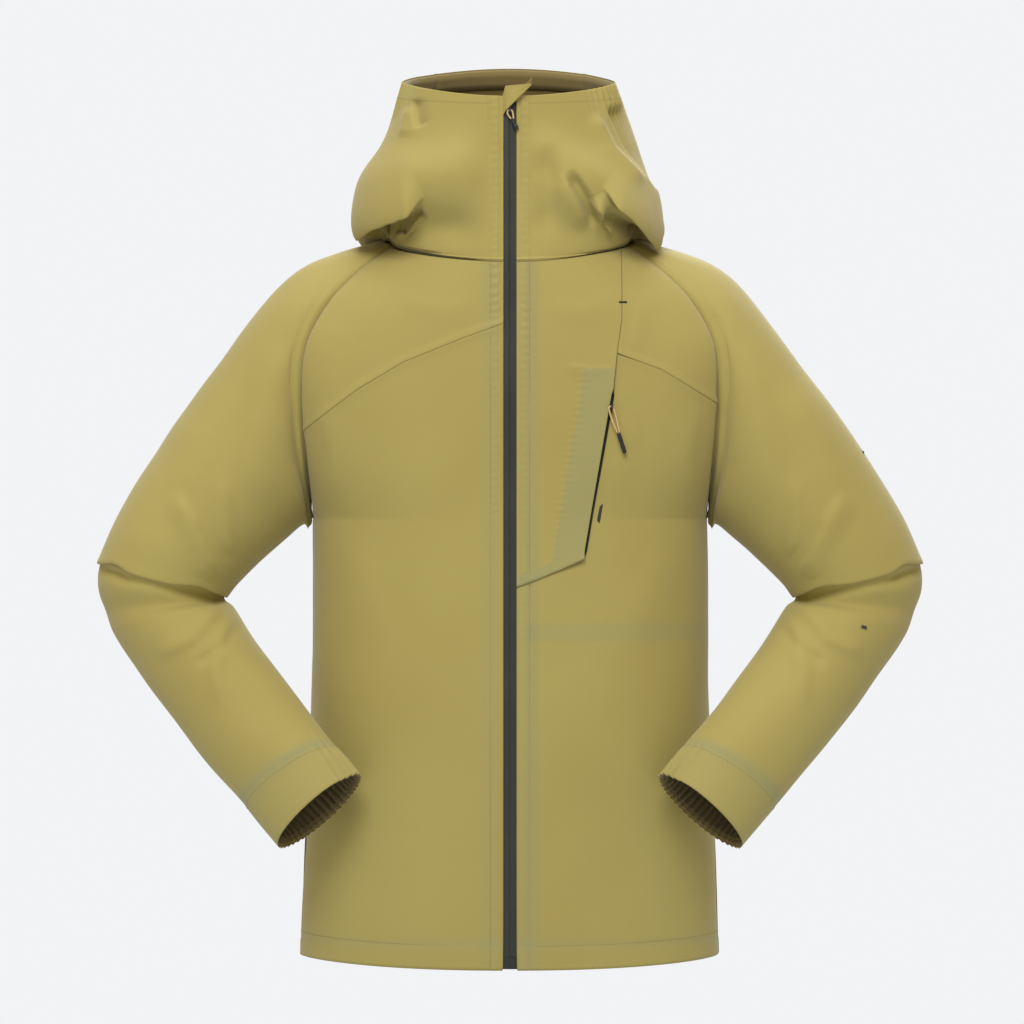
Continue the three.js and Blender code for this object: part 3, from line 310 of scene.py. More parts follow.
# ---- The main slider's pull -----------------------------------------------------------
# The same kind of pull with a shorter loop, on the front zip's slider.
SLIDER_REST_Z = 158
main_pull = Pull(
    (0, -107.36, SLIDER_REST_Z), (1, 0, 0), (0, 0.999201, -0.039968), (0, 0.039968, 0.999201),
    -2.0, 9, 24, (5.4, 4, 11.5),
)
main_pull.make("zip_pull", "main_zip_pull")

# ---- The shell cloth ------------------------------------------------------------------
# Three-layer waterproof laminate: a plain-woven nylon face in olive yellow, with a
# bonded backing that shows inside. Panels are cut from it and joined with taped seams.
CLOTH = 0.6
HEM_Z, HEM_SIDE_Z, ARMPIT_Z = -733, -725, -267
HEM_FRONT_Y, ZIP_LEAN, BODY_BACK_Y = -143, 0.04, 130
SQUARENESS = 2 / 2.3
BODY_WIDTHS = [[HEM_Z, 220], [mix(HEM_Z, ARMPIT_Z, 0.25), 216.7],
               [mix(HEM_Z, ARMPIT_Z, 0.6), 209], [ARMPIT_Z, 208]]
NECK_MIDDLE_Y = -8


def shell_look(name, dark, light, bonded):
    """Woven face cloth: fine plain weave, slow changes of tone and soft crinkles. Where
    a strip is bonded behind it, the colour turns greyer by the bonded attribute."""
    material, tree, shader = finish_of(name, light, 0.72, 0.25)
    place = node(tree, "TexCoord").outputs["Object"]
    cloth = node(tree, "TexCoord").outputs["UV"]
    slow = node(tree, "TexNoise", Vector=place, Scale=5.0, Detail=2.0, Roughness=0.4)
    tone = node(tree, "MapRange", _0=slow.outputs["Fac"], _1=0.3, _2=0.7).outputs[0]
    face = coloured(tree, shader, tone, dark, light)
    strip = node(tree, "Attribute", {"attribute_name": "bonded"}).outputs["Fac"]
    behind = node(tree, "Mix", {"data_type": "RGBA"}, _0=strip, _6=face.outputs[2],
                  _7=(*bonded, 1))
    fleck = node(tree, "TexNoise", Vector=cloth, Scale=900.0, Detail=1.0).outputs["Fac"]
    bright = node(tree, "MapRange", _0=fleck, _3=0.93, _4=1.07).outputs[0]
    grain = node(tree, "HueSaturation", Color=behind.outputs[2], Value=bright)
    tree.links.new(grain.outputs[0], shader.inputs["Base Color"])
    weave = [
        node(tree, "TexWave", {"bands_direction": axis}, Vector=cloth, Scale=330.0,
             Distortion=0.8, Detail=1.0).outputs["Fac"]
        for axis in "XY"
    ]
    threads = node(tree, "Math", {"operation": "MAXIMUM"}, _0=weave[0], _1=weave[1]).outputs[0]
    crinkle = node(tree, "TexNoise", Vector=place, Scale=38.0, Detail=3.0, Roughness=0.45)
    fine = node(tree, "Bump", Strength=0.35, Distance=0.0001, Height=threads)
    soft = node(tree, "Bump", Strength=0.10, Distance=0.004, Height=crinkle.outputs["Fac"],
                Normal=fine.outputs["Normal"])
    tree.links.new(soft.outputs["Normal"], shader.inputs["Normal"])
    return material


shell = shell_look(
    "shell cloth", dark=(0.362, 0.305, 0.092), light=(0.392, 0.336, 0.106),
    bonded=(0.315, 0.3, 0.132),
)
lining = shell_look(
    "shell backing", dark=(0.18, 0.13, 0.038), light=(0.215, 0.158, 0.05),
    bonded=(0.18, 0.15, 0.05),
)


def outwards(grid, around, centre):
    """The unit vector square to the surface at each grid point, away from the centre."""
    if around:
        across = np.roll(grid, -1, 1) - np.roll(grid, 1, 1)
    else:
        across = np.gradient(grid, axis=1)
    normal = unit(np.cross(across, np.gradient(grid, axis=0)))
    sign = np.sign(np.mean(np.sum(normal * (grid - centre), -1)))
    return normal * sign, sign


def reach_of(steps):
    """Distance along the cloth to each grid line, from the mean length of its cells."""
    lengths = np.linalg.norm(steps, axis=-1)
    return np.append(0, np.cumsum(lengths.mean(axis=0)))


def cloth(name, grid, centre, materials=None, around=False, wall=CLOTH, worn=None, shape=None,
          drift=None, held="hung", hangs_from=()):
    """A sheet with both its faces and its cut edges: the grid is the outer face, and the
    inner one lies a wall's thickness behind it. shape moves the outer face out first, and
    drift then moves each point by a vector."""
    normal, sign = outwards(grid, around, centre)
    if shape is not None:
        grid = grid + normal * np.broadcast_to(shape, grid.shape[:2])[..., None]
    if drift is not None:
        grid = grid + drift
    normal, sign = outwards(grid, around, centre)
    rows, columns = grid.shape[:2]
    count = rows * columns
    r, c = quads(rows, columns, around)
    outer = r * columns + c % columns
    turn = np.arange(columns if around else columns - 1)
    beyond, top = (turn + 1) % columns, (rows - 1) * columns
    edges = [(beyond, turn), (top + turn, top + beyond)]
    if not around:
        low, last = np.arange(rows - 1) * columns, columns - 1
        edges += [(low, low + columns), (low + columns + last, low + last)]
    rims = [np.column_stack([a, b, b + count, a + count]) for a, b in edges]
    faces = np.concatenate([outer, outer[:, ::-1] + count, *rims])
    closed = np.concatenate([grid, grid[:, :1]], 1) if around else grid
    across = reach_of(np.diff(closed, axis=1))
    up = reach_of(np.diff(grid, axis=0).swapaxes(0, 1))
    place = np.stack([across[c], up[r]], -1)
    rim = np.zeros((len(faces) - 2 * len(outer), 4, 2))
    uv = np.concatenate([place, place[:, ::-1], rim]) / 1000
    if sign < 0:
        faces, uv = faces[:, ::-1], uv[:, ::-1]
    kinds = np.zeros(len(faces), np.int32)
    kinds[len(outer):2 * len(outer)] = 1
    points = np.concatenate([grid.reshape(-1, 3), (grid - normal * wall).reshape(-1, 3)])
    if worn is not None:
        worn = np.tile(np.broadcast_to(worn, grid.shape[:2]).ravel(), 2)
    piece = put(name, points, faces.tolist(), materials or [shell, lining], kinds, uv, worn)
    return piece


def zip_y(z):
    """How far forward the front's middle is at a height."""
    return HEM_FRONT_Y + ZIP_LEAN * (z - HEM_Z)


def body(deg, level):
    """The body under the armpits: a squared ellipse at each height, deg round from the
    front and level from the hem (0) to the armpits (1)."""
    deg, level = np.broadcast_arrays(np.asarray(deg, float), np.asarray(level, float))
    c, s = np.cos(np.radians(deg)), np.sin(np.radians(deg))
    z = mix(mix(HEM_Z, HEM_SIDE_Z, s * s), ARMPIT_Z, level)
    half = along(BODY_WIDTHS, z)[..., 0]
    middle, depth = (zip_y(z) + BODY_BACK_Y) / 2, (BODY_BACK_Y - zip_y(z)) / 2
    x = half * np.sign(s) * np.abs(s) ** SQUARENESS
    return np.stack([x, middle - depth * np.sign(c) * np.abs(c) ** SQUARENESS, z], -1)


def loop(rows, deg):
    """A level loop round the neck: half width, depth and height at each angle. The rows go
    on as their mirror images at both ends, so that the loop runs level there."""
    turn = (np.asarray(deg, float) + 180) % 360 - 180
    rows = np.array(rows, float)
    before, after = rows[1] * [-1, 1, 1, 1], rows[-2] * [-1, 1, 1, 1] + [360, 0, 0, 0]
    rows = np.vstack([before, rows, after])
    half, depth, z = np.moveaxis(along(rows, np.abs(turn)), -1, 0)
    t = np.radians(turn)
    return np.stack([half * np.sin(t), NECK_MIDDLE_Y - depth * np.cos(t), z], -1)


NECK_FRONT = NECK_MIDDLE_Y - zip_y(0)
NECK_ROWS = [[0, 130, NECK_FRONT, 0], [90, 130, mix(NECK_FRONT, 100, 0.5), 25],
             [180, 130, 100, 50]]
RAGLAN_FRONT_DEG, RAGLAN_BACK_DEG = 75, 110
FRONT_RAGLAN = [[0, *body(90, 1)], [0.22, 214, -58, -208], [0.42, 217, -79, -140],
                [0.6, 212, -81, -86], [0.76, 189, -73, -40], [0.88, 158, -56, -6],
                [1, *loop(NECK_ROWS, RAGLAN_FRONT_DEG)]]
BACK_RAGLAN = [[0, *body(90, 1)], [0.22, 213, 62, -208], [0.42, 211, 84, -140],
               [0.6, 202, 86, -86], [0.76, 180, 74, -34], [0.88, 152, 54, 8],
               [1, *loop(NECK_ROWS, RAGLAN_BACK_DEG)]]
BACK_LINE = [[0, 0, BODY_BACK_Y, ARMPIT_Z], [0.45, 0, BODY_BACK_Y + 2, mix(ARMPIT_Z, 50, 0.42)],
             [0.8, 0, mix(BODY_BACK_Y, NECK_MIDDLE_Y + 100, 0.5), mix(ARMPIT_Z, 50, 0.8)],
             [1, 0, NECK_MIDDLE_Y + 100, 50]]


def chest(centre, edge, top_centre, top_edge, neck_at, u, v):
    """Above the armpits: rows as round as the body run from the centre line to a raglan
    seam, and turn into the neck seam by the fourth power of the height."""

    def row(middle, side):
        s = np.sign(u) * np.abs(np.sin(np.pi / 2 * u)) ** SQUARENESS
        c = np.abs(np.cos(np.pi / 2 * u)) ** SQUARENESS
        return np.stack([
            side[..., 0] * s, mix(side[..., 1], middle[..., 1], c),
            mix(middle[..., 2], side[..., 2], s * s)], -1)

    to_neck = neck_at - row(top_centre, top_edge)
    return row(centre, edge) + to_neck * (v ** 4)[..., None]


def front(u, v):
    """The left front: u from the zip to the side, v -1 at the hem, 0 at the armpit and 1
    at the neck seam."""
    u, v = np.broadcast_arrays(np.asarray(u, float), np.asarray(v, float))
    high = np.clip(v, 0, 1)
    z = mix(ARMPIT_Z, 0, high)
    centre = np.stack([0 * z, zip_y(z), z], -1)
    top = np.array([0, zip_y(0), 0])
    edge = along(FRONT_RAGLAN, high)
    inside = np.clip(u, 0, 1)
    upper = chest(centre, edge, top, along(FRONT_RAGLAN, 1.0),
                  loop(NECK_ROWS, RAGLAN_FRONT_DEG * inside), inside, high)
    return np.where((v <= 0)[..., None], body(90 * u, v + 1), upper)


def back(u, v):
    """The back: u -1 at the right side to 1 at the left, v as on the fronts."""
    u, v = np.broadcast_arrays(np.asarray(u, float), np.asarray(v, float))
    high = np.clip(v, 0, 1)
    upper = chest(along(BACK_LINE, high), along(BACK_RAGLAN, high), along(BACK_LINE, 1.0),
                  along(BACK_RAGLAN, 1.0), loop(NECK_ROWS, 180 - 70 * u), u, high)
    return np.where((v <= 0)[..., None], body(180 - 90 * u, v + 1), upper)


def front_at(x, z):
    """u and v of the left front at that x and z, by repeated small corrections."""
    x, z = np.broadcast_arrays(np.asarray(x, float), np.asarray(z, float))
    u, v = 0 * x + 0.5, np.where(z < ARMPIT_Z, -0.1, 0.5)
    for _ in range(70):
        at = front(u, v)
        u = np.clip(u + (x - at[..., 0]) / 260, 0.0005, 1)
        v = np.clip(v + (z - at[..., 2]) / np.where(v < 0, ARMPIT_Z - HEM_Z, -ARMPIT_Z), -1, 1)
    return u, v


def uneven(a, b, length, seed, count=9):
    """Soft unevenness between about -1 and 1: sine waves of about that length, each in a
    direction of its own."""
    rng = np.random.default_rng(seed)
    total = 0 * a * b
    for turn, phase, stretch in rng.uniform((0, 0, 0.7), (2 * np.pi, 2 * np.pi, 1.6), (count, 3)):
        wave = (a * np.cos(turn) + b * np.sin(turn)) / (length * stretch)
        total = total + np.sin(2 * np.pi * wave + phase)
    return total / np.sqrt(count * 2)


def beside(x, z, corners):
    """From each point to a broken line: the distance, on its left side above 0, and the
    share of its length where the nearest point lies."""
    corners = np.asarray(corners, float)
    lengths = np.linalg.norm(np.diff(corners, axis=0), axis=1)
    starts = np.append(0, np.cumsum(lengths))
    best, signed, share = np.full(x.shape, 1e9), 0 * x, 0 * x
    for a, b, start, length in zip(corners[:-1], corners[1:], starts, lengths):
        dx, dz = (b - a) / length
        s = np.clip((x - a[0]) * dx + (z - a[1]) * dz, 0, length)
        away = np.hypot(x - a[0] - s * dx, z - a[1] - s * dz)
        side = np.where((z - a[1]) * dx - (x - a[0]) * dz < 0, -1.0, 1.0)
        nearer = away < best
        best = np.where(nearer, away, best)
        signed = np.where(nearer, away * side, signed)
        share = np.where(nearer, (start + s) / starts[-1], share)
    return signed, share


def fold(x, z, corners, height, left, right, ends=0.15):
    """A fold along a broken line: its height falls off as a bell over the widths left and
    right of the line, and towards both ends of it. A hollow's height is below 0."""
    d, share = beside(x, z, corners)
    fade = smooth(0, ends, share) * smooth(0, ends, 1 - share)
    return height * bell(d, np.where(d > 0, left, right)) * fade


def folded(x, z, folds):
    """Several folds added up. Each is its line, height, left and right widths and ends."""
    return sum(fold(x, z, *one) for one in folds)


def hem_strip(z):
    """The hem's turned strip: it stands out, with a groove at its upper row of stitches."""
    return 0.5 * (1 - smooth(HEM_Z + 24, HEM_Z + 27, z)) - 0.4 * bell(z - HEM_Z - 25, 1.3)

# ---- The fronts -----------------------------------------------------------------------
# Five shell panels. The right front is cut across by a curved yoke seam, and the left
# one has the chest pocket's panel beside the zip, a yoke and a front panel. Each is
# turned in and stitched beside the zip, which puckers it a little.
ZIP_SLOT = 6.8
TOP = 0.994
RIGHT_YOKE = [(300, -252), (212, -174), (160, -134), (112, -105), (50, -80), (0, -62)]
LEFT_YOKE = [(111, -96), (157, -113), (199, -138), (300, -196)]
SLIT = [(77, -309), (106, -143), (111, -96), (116, -62), (116.5, 40)]
POCKET_FLOOR = [(0, -341), (77, -309)]
zip_edge = front_at(ZIP_SLOT, np.linspace(HEM_Z, 0, 240))


def at_zip(v):
    """u of the zip's edge at that v."""
    return np.interp(v, zip_edge[1], zip_edge[0])


def seam_level(u, line):
    """The v at which each column crosses a seam drawn across the front, by halving."""
    line = np.array(sorted(line), float)
    low, high = 0 * u - 0.2, 0 * u + 1
    for _ in range(30):
        middle = (low + high) / 2
        at = front(u, middle)
        over = at[..., 2] > np.interp(at[..., 0], line[:, 0], line[:, 1])
        low, high = np.where(over, low, middle), np.where(over, middle, high)
    return middle


def zip_strip(x, z, height, depth, seed):
    """The turned strip beside the zip, low along its very edge, and the puckers that its
    row of stitches makes: a wave along the zip that a slow unevenness shifts."""
    raised = smooth(10.5, 12.5, x)
    strip = height * raised * (1 - smooth(19, 21.5, x)) - 0.4 * (1 - raised)
    ripple = np.sin(2 * np.pi * z / 8.7 + 1.6 * uneven(x, z, 70, seed))
    return strip, depth * ripple * bell(x - 15, 5) * raised


FRONT_FOLDS = [
    ([(196, -262), (150, -330), (120, -430)], 1.6, 26, 20, 0.4),
    ([(190, -262), (186, -200), (196, -140)], 1.8, 14, 9, 0.3),
    ([(30, -40), (70, -52), (120, -40)], 1.2, 9, 14, 0.3),
]


def front_shape(at, left):
    """How far the cloth of a front stands off its plain surface: the turned strip by the
    zip with its puckers, slow unevenness, the hem's strip and the armhole's valley."""
    x, z = np.abs(at[..., 0]), at[..., 2]
    strip, pucker = zip_strip(x, z, 0.7, 0.42, 5 + left)
    strength = 0.55 + 0.45 * uneven(x * 0, z, 160, 8 + left)
    slow = 1.3 * uneven(x, z, 230, 21 + left) + 0.5 * uneven(x, z, 85, 31 + left)
    edge = 1 - smooth(0, 2.4, np.abs(raglan_distance(at)))
    free = slow * smooth(8, 60, x) + folded(x, z, FRONT_FOLDS)
    return strip + pucker * strength + hem_strip(z) + free - 1.1 * edge * (z > ARMPIT_Z)


def raglan_distance(at):
    """Distance of a point of the front from the front raglan seam, seen from the front."""
    seam = along(FRONT_RAGLAN, np.linspace(0, 1, 13))
    return beside(np.abs(at[..., 0]), at[..., 2], seam[:, [0, 2]])[0]


def armhole(at):
    """The hollow in front of each armhole: both sides of the raglan seam lie back by a
    bell of the distance from it, the same on the body and on the sleeve."""
    z = at[..., 2]
    depth = 6.5 * bell(raglan_distance(at), 24) * (at[..., 1] < 0)
    depth = depth * smooth(-285, -200, z) * (1 - smooth(-70, -5, z))
    return depth[..., None] * [0, 1, 0]


def hem_worn(z):
    """The band that the hem's upper edge shows through the cloth."""
    return 0.5 * bell(z - HEM_Z - 27, 5)


def front_worn(at, left):
    """Where a strip is bonded or stitched behind the face cloth."""
    x, z = np.abs(at[..., 0]), at[..., 2]
    beside_zip = 0.3 * (1 - smooth(20, 22, x)) + 0.5 * smooth(15, 17, x) * (1 - smooth(29, 31, x))
    hem = hem_worn(z)
    seam = 0.45 * smooth(-396, -392, z) * (1 - smooth(-378, -374, z)) * smooth(14, 18, x)
    return np.clip(beside_zip * (1 if left else 0.6) + hem + (seam if left else 0), 0, 1)


def front_piece(name, u, v, left, extra, worn=0.0):
    """One panel of a front from its grid of u and v, with extra height of its own."""
    at = front(u, v)
    shape = front_shape(at, left) + extra
    covered = np.clip(front_worn(at, left) + worn, 0, 1)
    grid = at if left else at * [-1, 1, 1]
    piece = cloth(name, grid, grid * [0, 0, 1], shape=shape, worn=covered, drift=armhole(grid),
                  hangs_from=[("left" if left else "right") + "_sleeve_head"])
    fit(piece, "torso", "shell_cloth", name)


def welt(x, z, line, width=4.5, height=0.9):
    """A seam's allowance folded back under the cloth: a low ridge along a line."""
    d, _ = beside(x, z, line)
    return height * bell(np.maximum(np.abs(d) - 1.2, 0), width)


s, t = np.meshgrid(np.linspace(0, 1, 104) ** 1.15, np.linspace(0, 1, 210))
v_top = seam_level(mix(0.02, 1, s[0]), RIGHT_YOKE)
v = mix(-1, v_top, t)
u = mix(at_zip(v), 1, s)
at = front(u, v)
front_piece("right_front_panel", u, v, 0, welt(at[..., 0], at[..., 2], RIGHT_YOKE))
s, t = np.meshgrid(np.linspace(0, 1, 104) ** 1.15, np.linspace(0, 1, 110))
v = mix(v_top, TOP, t)
u = mix(at_zip(v), 1, s)
at = front(u, v)
front_piece("right_yoke", u, v, 0, welt(at[..., 0], at[..., 2], RIGHT_YOKE, height=1.3))

# Points up the slit, and how far each edge of it lies from its middle.
slit_z = np.concatenate([np.linspace(-309, -62, 120), np.linspace(-60, 14, 30)])
slit_x = np.interp(slit_z, [z for _, z in SLIT], [x for x, _ in SLIT])
slit_gap = 1.5 * (1 - smooth(-141, -132, slit_z)) * smooth(-312, -300, slit_z) + 0.15
inner_edge = front_at(slit_x - slit_gap, slit_z)
outer_edge = front_at(slit_x + slit_gap, slit_z)


def up_to_neck(edge):
    """The part of an edge's u and v below the neck seam, ending on it."""
    u, v = edge
    kept = v < TOP - 0.002
    return np.append(u[kept], u[kept][-1]), np.append(v[kept], TOP)


pocket_u, pocket_v = up_to_neck(inner_edge)
share = np.linspace(0, 1, len(pocket_v))
s, t = np.meshgrid(np.linspace(0, 1, 80), np.linspace(0, 1, 190))
floor_v = front_at(ZIP_SLOT, np.interp(ZIP_SLOT, *zip(*POCKET_FLOOR)))[1]
v_low = mix(floor_v, TOP, t)
v_high = np.interp(t, share, pocket_v)
v = mix(v_low, v_high, s)
u = mix(at_zip(v_low), np.interp(t, share, pocket_u), s)
at = front(u, v)
x, z = at[..., 0], at[..., 2]
to_slit, _ = beside(x, z, SLIT[:3])
to_floor, _ = beside(x, z, POCKET_FLOOR)
lifted = 2.3 * bell(to_slit, 26) * (1 - smooth(-140, -80, z)) + 0.9 * bell(to_floor, 7)
closed = 0.5 * bell(to_slit, 5)
band = (1 - smooth(31, 34, np.abs(to_slit))) * (1 - smooth(-113, -110, z))
band = np.maximum(band, 1 - smooth(9, 11, np.abs(to_floor)))
creases = folded(x, z, [
    ([(56, -108), (82, -113), (108, -112)], 1.1, 3, 9, 0.2),
    ([(20, -120), (60, -190), (70, -280)], 0.9, 14, 20, 0.3),
])
ladder = 0.25 * np.sin(2 * np.pi * z / 7 + uneven(x, z, 60, 2)) * bell(np.abs(to_slit) - 33, 5)
front_piece(
    "left_pocket_panel", u, v, 1, lifted + closed + creases + ladder * (z < -110), 0.75 * band,
)

yoke_u, yoke_v = up_to_neck(outer_edge)
corner = np.interp(-96, front(yoke_u, yoke_v)[:, 2], yoke_v)
upper = yoke_v > corner
yoke_u = np.append(np.interp(corner, yoke_v, yoke_u), yoke_u[upper])
yoke_v = np.append(corner, yoke_v[upper])
s, t = np.meshgrid(np.linspace(0, 1, 64), np.linspace(0, 1, 90))
seam_u = mix(yoke_u[0], 1, s[0])
seam_v = seam_level(seam_u, [(-300, -96), *LEFT_YOKE])
seam_v = seam_v + (corner - seam_v[0]) * (1 - smooth(0, 0.15, s[0]))
v = mix(seam_v, TOP, t)
u = mix(np.interp(v, yoke_v, yoke_u), 1, s)
at = front(u, v)
x, z = at[..., 0], at[..., 2]
ridge = welt(x, z, LEFT_YOKE, height=1.3) + 0.5 * bell(beside(x, z, SLIT)[0], 5)
ridge = ridge + fold(x, z, [(121, -100), (133, -70), (140, -30)], 0.9, 6, 12, 0.3)
front_piece("left_yoke", u, v, 1, ridge)

zip_part = np.linspace(-1, floor_v, 130)
floor_x = np.linspace(ZIP_SLOT, 77, 34)[1:]
floor_edge = front_at(floor_x, np.interp(floor_x, *zip(*POCKET_FLOOR)))
low_slit = outer_edge[1] < corner
side_u = np.concatenate([at_zip(zip_part), floor_edge[0], outer_edge[0][low_slit], yoke_u[:1]])
side_v = np.concatenate([zip_part, floor_edge[1], outer_edge[1][low_slit], [corner]])
share = np.concatenate([
    np.linspace(0, 0.55, 130), np.linspace(0.55, 0.65, 34)[1:],
    np.linspace(0.65, 1, low_slit.sum() + 2)[1:],
])
s, t = np.meshgrid(np.linspace(0, 1, 104) ** 1.1, np.linspace(0, 1, 230))
u0, v0 = np.interp(t, share, side_u), np.interp(t, share, side_v)
end_v = seam_v[-1]
right_v = np.interp(t, [0, 0.55, 1], [-1, -0.1, end_v])
u, v = mix(u0, 1, s), mix(v0, right_v, s)
seam_here = np.interp(mix(yoke_u[0], 1, s[0]), seam_u, seam_v)
v = v + (seam_here - v[-1]) * t ** 5
at = front(u, v)
x, z = at[..., 0], at[..., 2]
ridge = welt(x, z, LEFT_YOKE, height=0.9)
under = -0.8 * bell(beside(x, z, SLIT[:3])[0], 16) - 0.5 * bell(beside(x, z, POCKET_FLOOR)[0], 8)
soft = folded(x, z, [
    ([(112, -122), (126, -158), (132, -200)], 1.0, 7, 14, 0.3),
    ([(108, -140), (118, -190), (112, -260)], 1.3, 12, 12, 0.4),
])
front_piece("left_front_panel", u, v, 1, ridge + under + soft)

# ---- The back -------------------------------------------------------------------------
# One large shell panel from side seam to side seam, up to the raglan and neck seams. Its
# hem is turned in and stitched like the fronts'.
DRAPES = [
    ([(-150, -290), (-60, -420), (-30, -600)], 4.5, 30, 20, 0.4),
    ([(150, -290), (70, -430), (40, -600)], 4.5, 20, 30, 0.4),
    ([(-110, -60), (0, -84), (110, -60)], 2.0, 9, 20, 0.3),
]


def back_shape(at, across):
    """How far the back stands off its plain surface: the hem's strip, slow waves that are
    longer than they are wide, and two drapes that fall in towards the middle."""
    x, z = at[..., 0], at[..., 2]
    drape = 2.6 * uneven(x, z * 0.45, 170, 77) + 1.0 * uneven(x, z, 90, 78)
    drape = drape + folded(x, z, DRAPES)
    return hem_strip(z) + drape * (1 - smooth(0.86, 1, np.abs(across)))


s, t = np.meshgrid(np.linspace(-1, 1, 170), np.linspace(-1, TOP, 240))
at = back(s, t)
back_panel = cloth(
    "back_panel", at, at * [0, 0, 1], shape=back_shape(at, s),
    worn=hem_worn(at[..., 2]),
    hangs_from=["left_sleeve_head", "right_sleeve_head"],
)
fit(back_panel, "torso", "shell_cloth", "back_panel")

# ---- The sleeves ----------------------------------------------------------------------
# Raglan sleeves of shell cloth, each drawn as an upper part from the raglan seams to the
# fold at the elbow and a forearm from inside that fold to the cuff.
SHOULDER, SHOULDER_REACH, SHOULDER_DEPTH, OPENING_TOP = (243, 0, -160.5), 113, 88, 77.8
ELBOW, ELBOW_RADIUS, FOLD_TOP, BALL_RADIUS = (365, -25, -331), 71.3, 14.6, 68.1


def polar(centre, radius, deg):
    """x and z of a point at that angle and distance from a centre."""
    t = np.radians(deg)
    return centre[0] + radius * np.cos(t), centre[2] + radius * np.sin(t)


def ball_row(t, outer, inner):
    """A loop on the elbow's ball, through its outer and inner points."""
    half = BALL_RADIUS * np.sin(np.radians((inner - outer) / 2))
    ends = polar(ELBOW, BALL_RADIUS, outer) + polar(ELBOW, BALL_RADIUS, inner)
    return [t, *ends, ELBOW[1], half, 0]


OPENING = [*polar(SHOULDER, SHOULDER_REACH, OPENING_TOP),
           *polar(SHOULDER, SHOULDER_REACH, OPENING_TOP + 180), 0, SHOULDER_DEPTH, 0]
UPPER_ROWS = [
    [0, *OPENING], [0.3, 316, -117, 238, -289, -5, 86, 0], [0.62, 371, -197, 262, -311, -13, 82, 0],
    [0.85, 411, -262, 287, -336, -20, 77, 0],
    [1, *polar(ELBOW, ELBOW_RADIUS, FOLD_TOP), *polar(ELBOW, ELBOW_RADIUS, FOLD_TOP + 180),
     ELBOW[1], ELBOW_RADIUS, 0],
]
FOREARM_ROWS = [
    ball_row(0, 19, 150), ball_row(0.07, 4, 166),
    ball_row(0.14, -12, 179), ball_row(0.21, -28, 197),
    [0.3, 415, -389, 289, -361, -35, 65, 7], [0.45, 385, -431, 262, -400, -61, 58, 15],
    [0.7, 322, -510, 214, -462, -101, 48, 20], [1, 238, -605, 155, -531, -145, 36, 22],
]


def sleeve(rows, turn, t):
    """A sleeve's loops: at each distance along it an oval between its outer and inner
    points, half its depth to the front, with that edge raised by some degrees."""
    r = along(rows, t)
    line = np.stack([r[..., 0] - r[..., 2], 0 * r[..., 0], r[..., 1] - r[..., 3]], -1)
    half = np.linalg.norm(line, axis=-1) / 2
    across = unit(line)
    up = np.stack([-across[..., 2], 0 * half, across[..., 0]], -1)
    rise = np.radians(r[..., 6])[..., None]
    ahead = np.cos(rise) * [0, -1, 0] + np.sin(rise) * up
    middle = np.stack([(r[..., 0] + r[..., 2]) / 2, r[..., 4], (r[..., 1] + r[..., 3]) / 2], -1)
    a = 2 * np.pi * turn
    return (middle + across * (half * np.cos(a))[..., None]
            + ahead * (r[..., 5] * np.sin(a))[..., None])


def raglan_edge(turn):
    """The line that the sleeve's top is sewn to: up one raglan seam from the armpit, along
    the neck seam and down the other raglan seam."""
    ahead = turn <= 0.5
    side = np.where(ahead, turn, 1 - turn) * 2
    neck_share = 0.14
    climb = 1 - np.clip((side - neck_share) / (1 - neck_share), 0, 1)
    seam = np.where(ahead[..., None], along(FRONT_RAGLAN, climb), along(BACK_RAGLAN, climb))
    corner = np.where(ahead, RAGLAN_FRONT_DEG, RAGLAN_BACK_DEG)
    top = loop(NECK_ROWS, mix(92.5, corner, np.clip(side / neck_share, 0, 1)))
    return np.where((side >= neck_share)[..., None], seam, top)


def sleeve_head(turn, share):
    """From the raglan seams to the arm's own loops: cubic curves that leave the seam over
    the shoulder more than at the armpit."""
    start, end = raglan_edge(turn), sleeve([[0, *OPENING], [1, *OPENING]], turn, 0 * turn)
    lift = ((1 + np.cos(2 * np.pi * turn)) / 2)[..., None]
    leave = mix(np.array([14, 0, -30]), np.array([60, 0, -16]), lift)
    arrive = mix(np.array([14, 0, -10]), np.array([34, 0, -62]), lift)
    w = share[..., None]
    return (start * (1 - w) ** 3 + 3 * (start + leave) * w * (1 - w) ** 2
            + 3 * (end - arrive) * w * w * (1 - w) + end * w ** 3)


def eased(grid, first, last, spread):
    """The rows between first and last averaged with their neighbours, most in between."""
    reach = np.arange(-3 * spread, 3 * spread + 1)
    weights = bell(reach, spread * np.sqrt(2))
    rows = np.arange(len(grid))
    mean = sum(w * grid[np.clip(rows + k, 0, len(grid) - 1)]
               for k, w in zip(reach, weights / weights.sum()))
    share = (smooth(first, first + 8, rows) * (1 - smooth(last - 8, last, rows)))[:, None, None]
    return mix(grid, mean, share)


turns = np.linspace(0, 1, 168, endpoint=False)
turn, share = np.meshgrid(turns, np.linspace(0, 1, 44))
head = sleeve_head(turn, share)
turn_low, t_low = np.meshgrid(turns, np.linspace(0, 1, 104)[1:])
arm = eased(np.concatenate([head, sleeve(UPPER_ROWS, turn_low, t_low)]), 8, 84, 9)
# The seam allowance: the sleeve's edge runs on a little under the body's panels.
tuck_in = unit(np.array([112.0, 0, -150]) - arm[:1])
tuck_back = unit(arm[:1] - arm[1:2])
above_armpit = smooth(-262, -215, arm[:1, :, 2])[..., None]
allowance = np.concatenate([arm[:1] + (tuck_back * far + tuck_in * deep) * above_armpit
                            for far, deep in ((6.0, 3.4), (3.2, 2.6), (1.2, 1.6))])
arm = np.concatenate([allowance, arm])
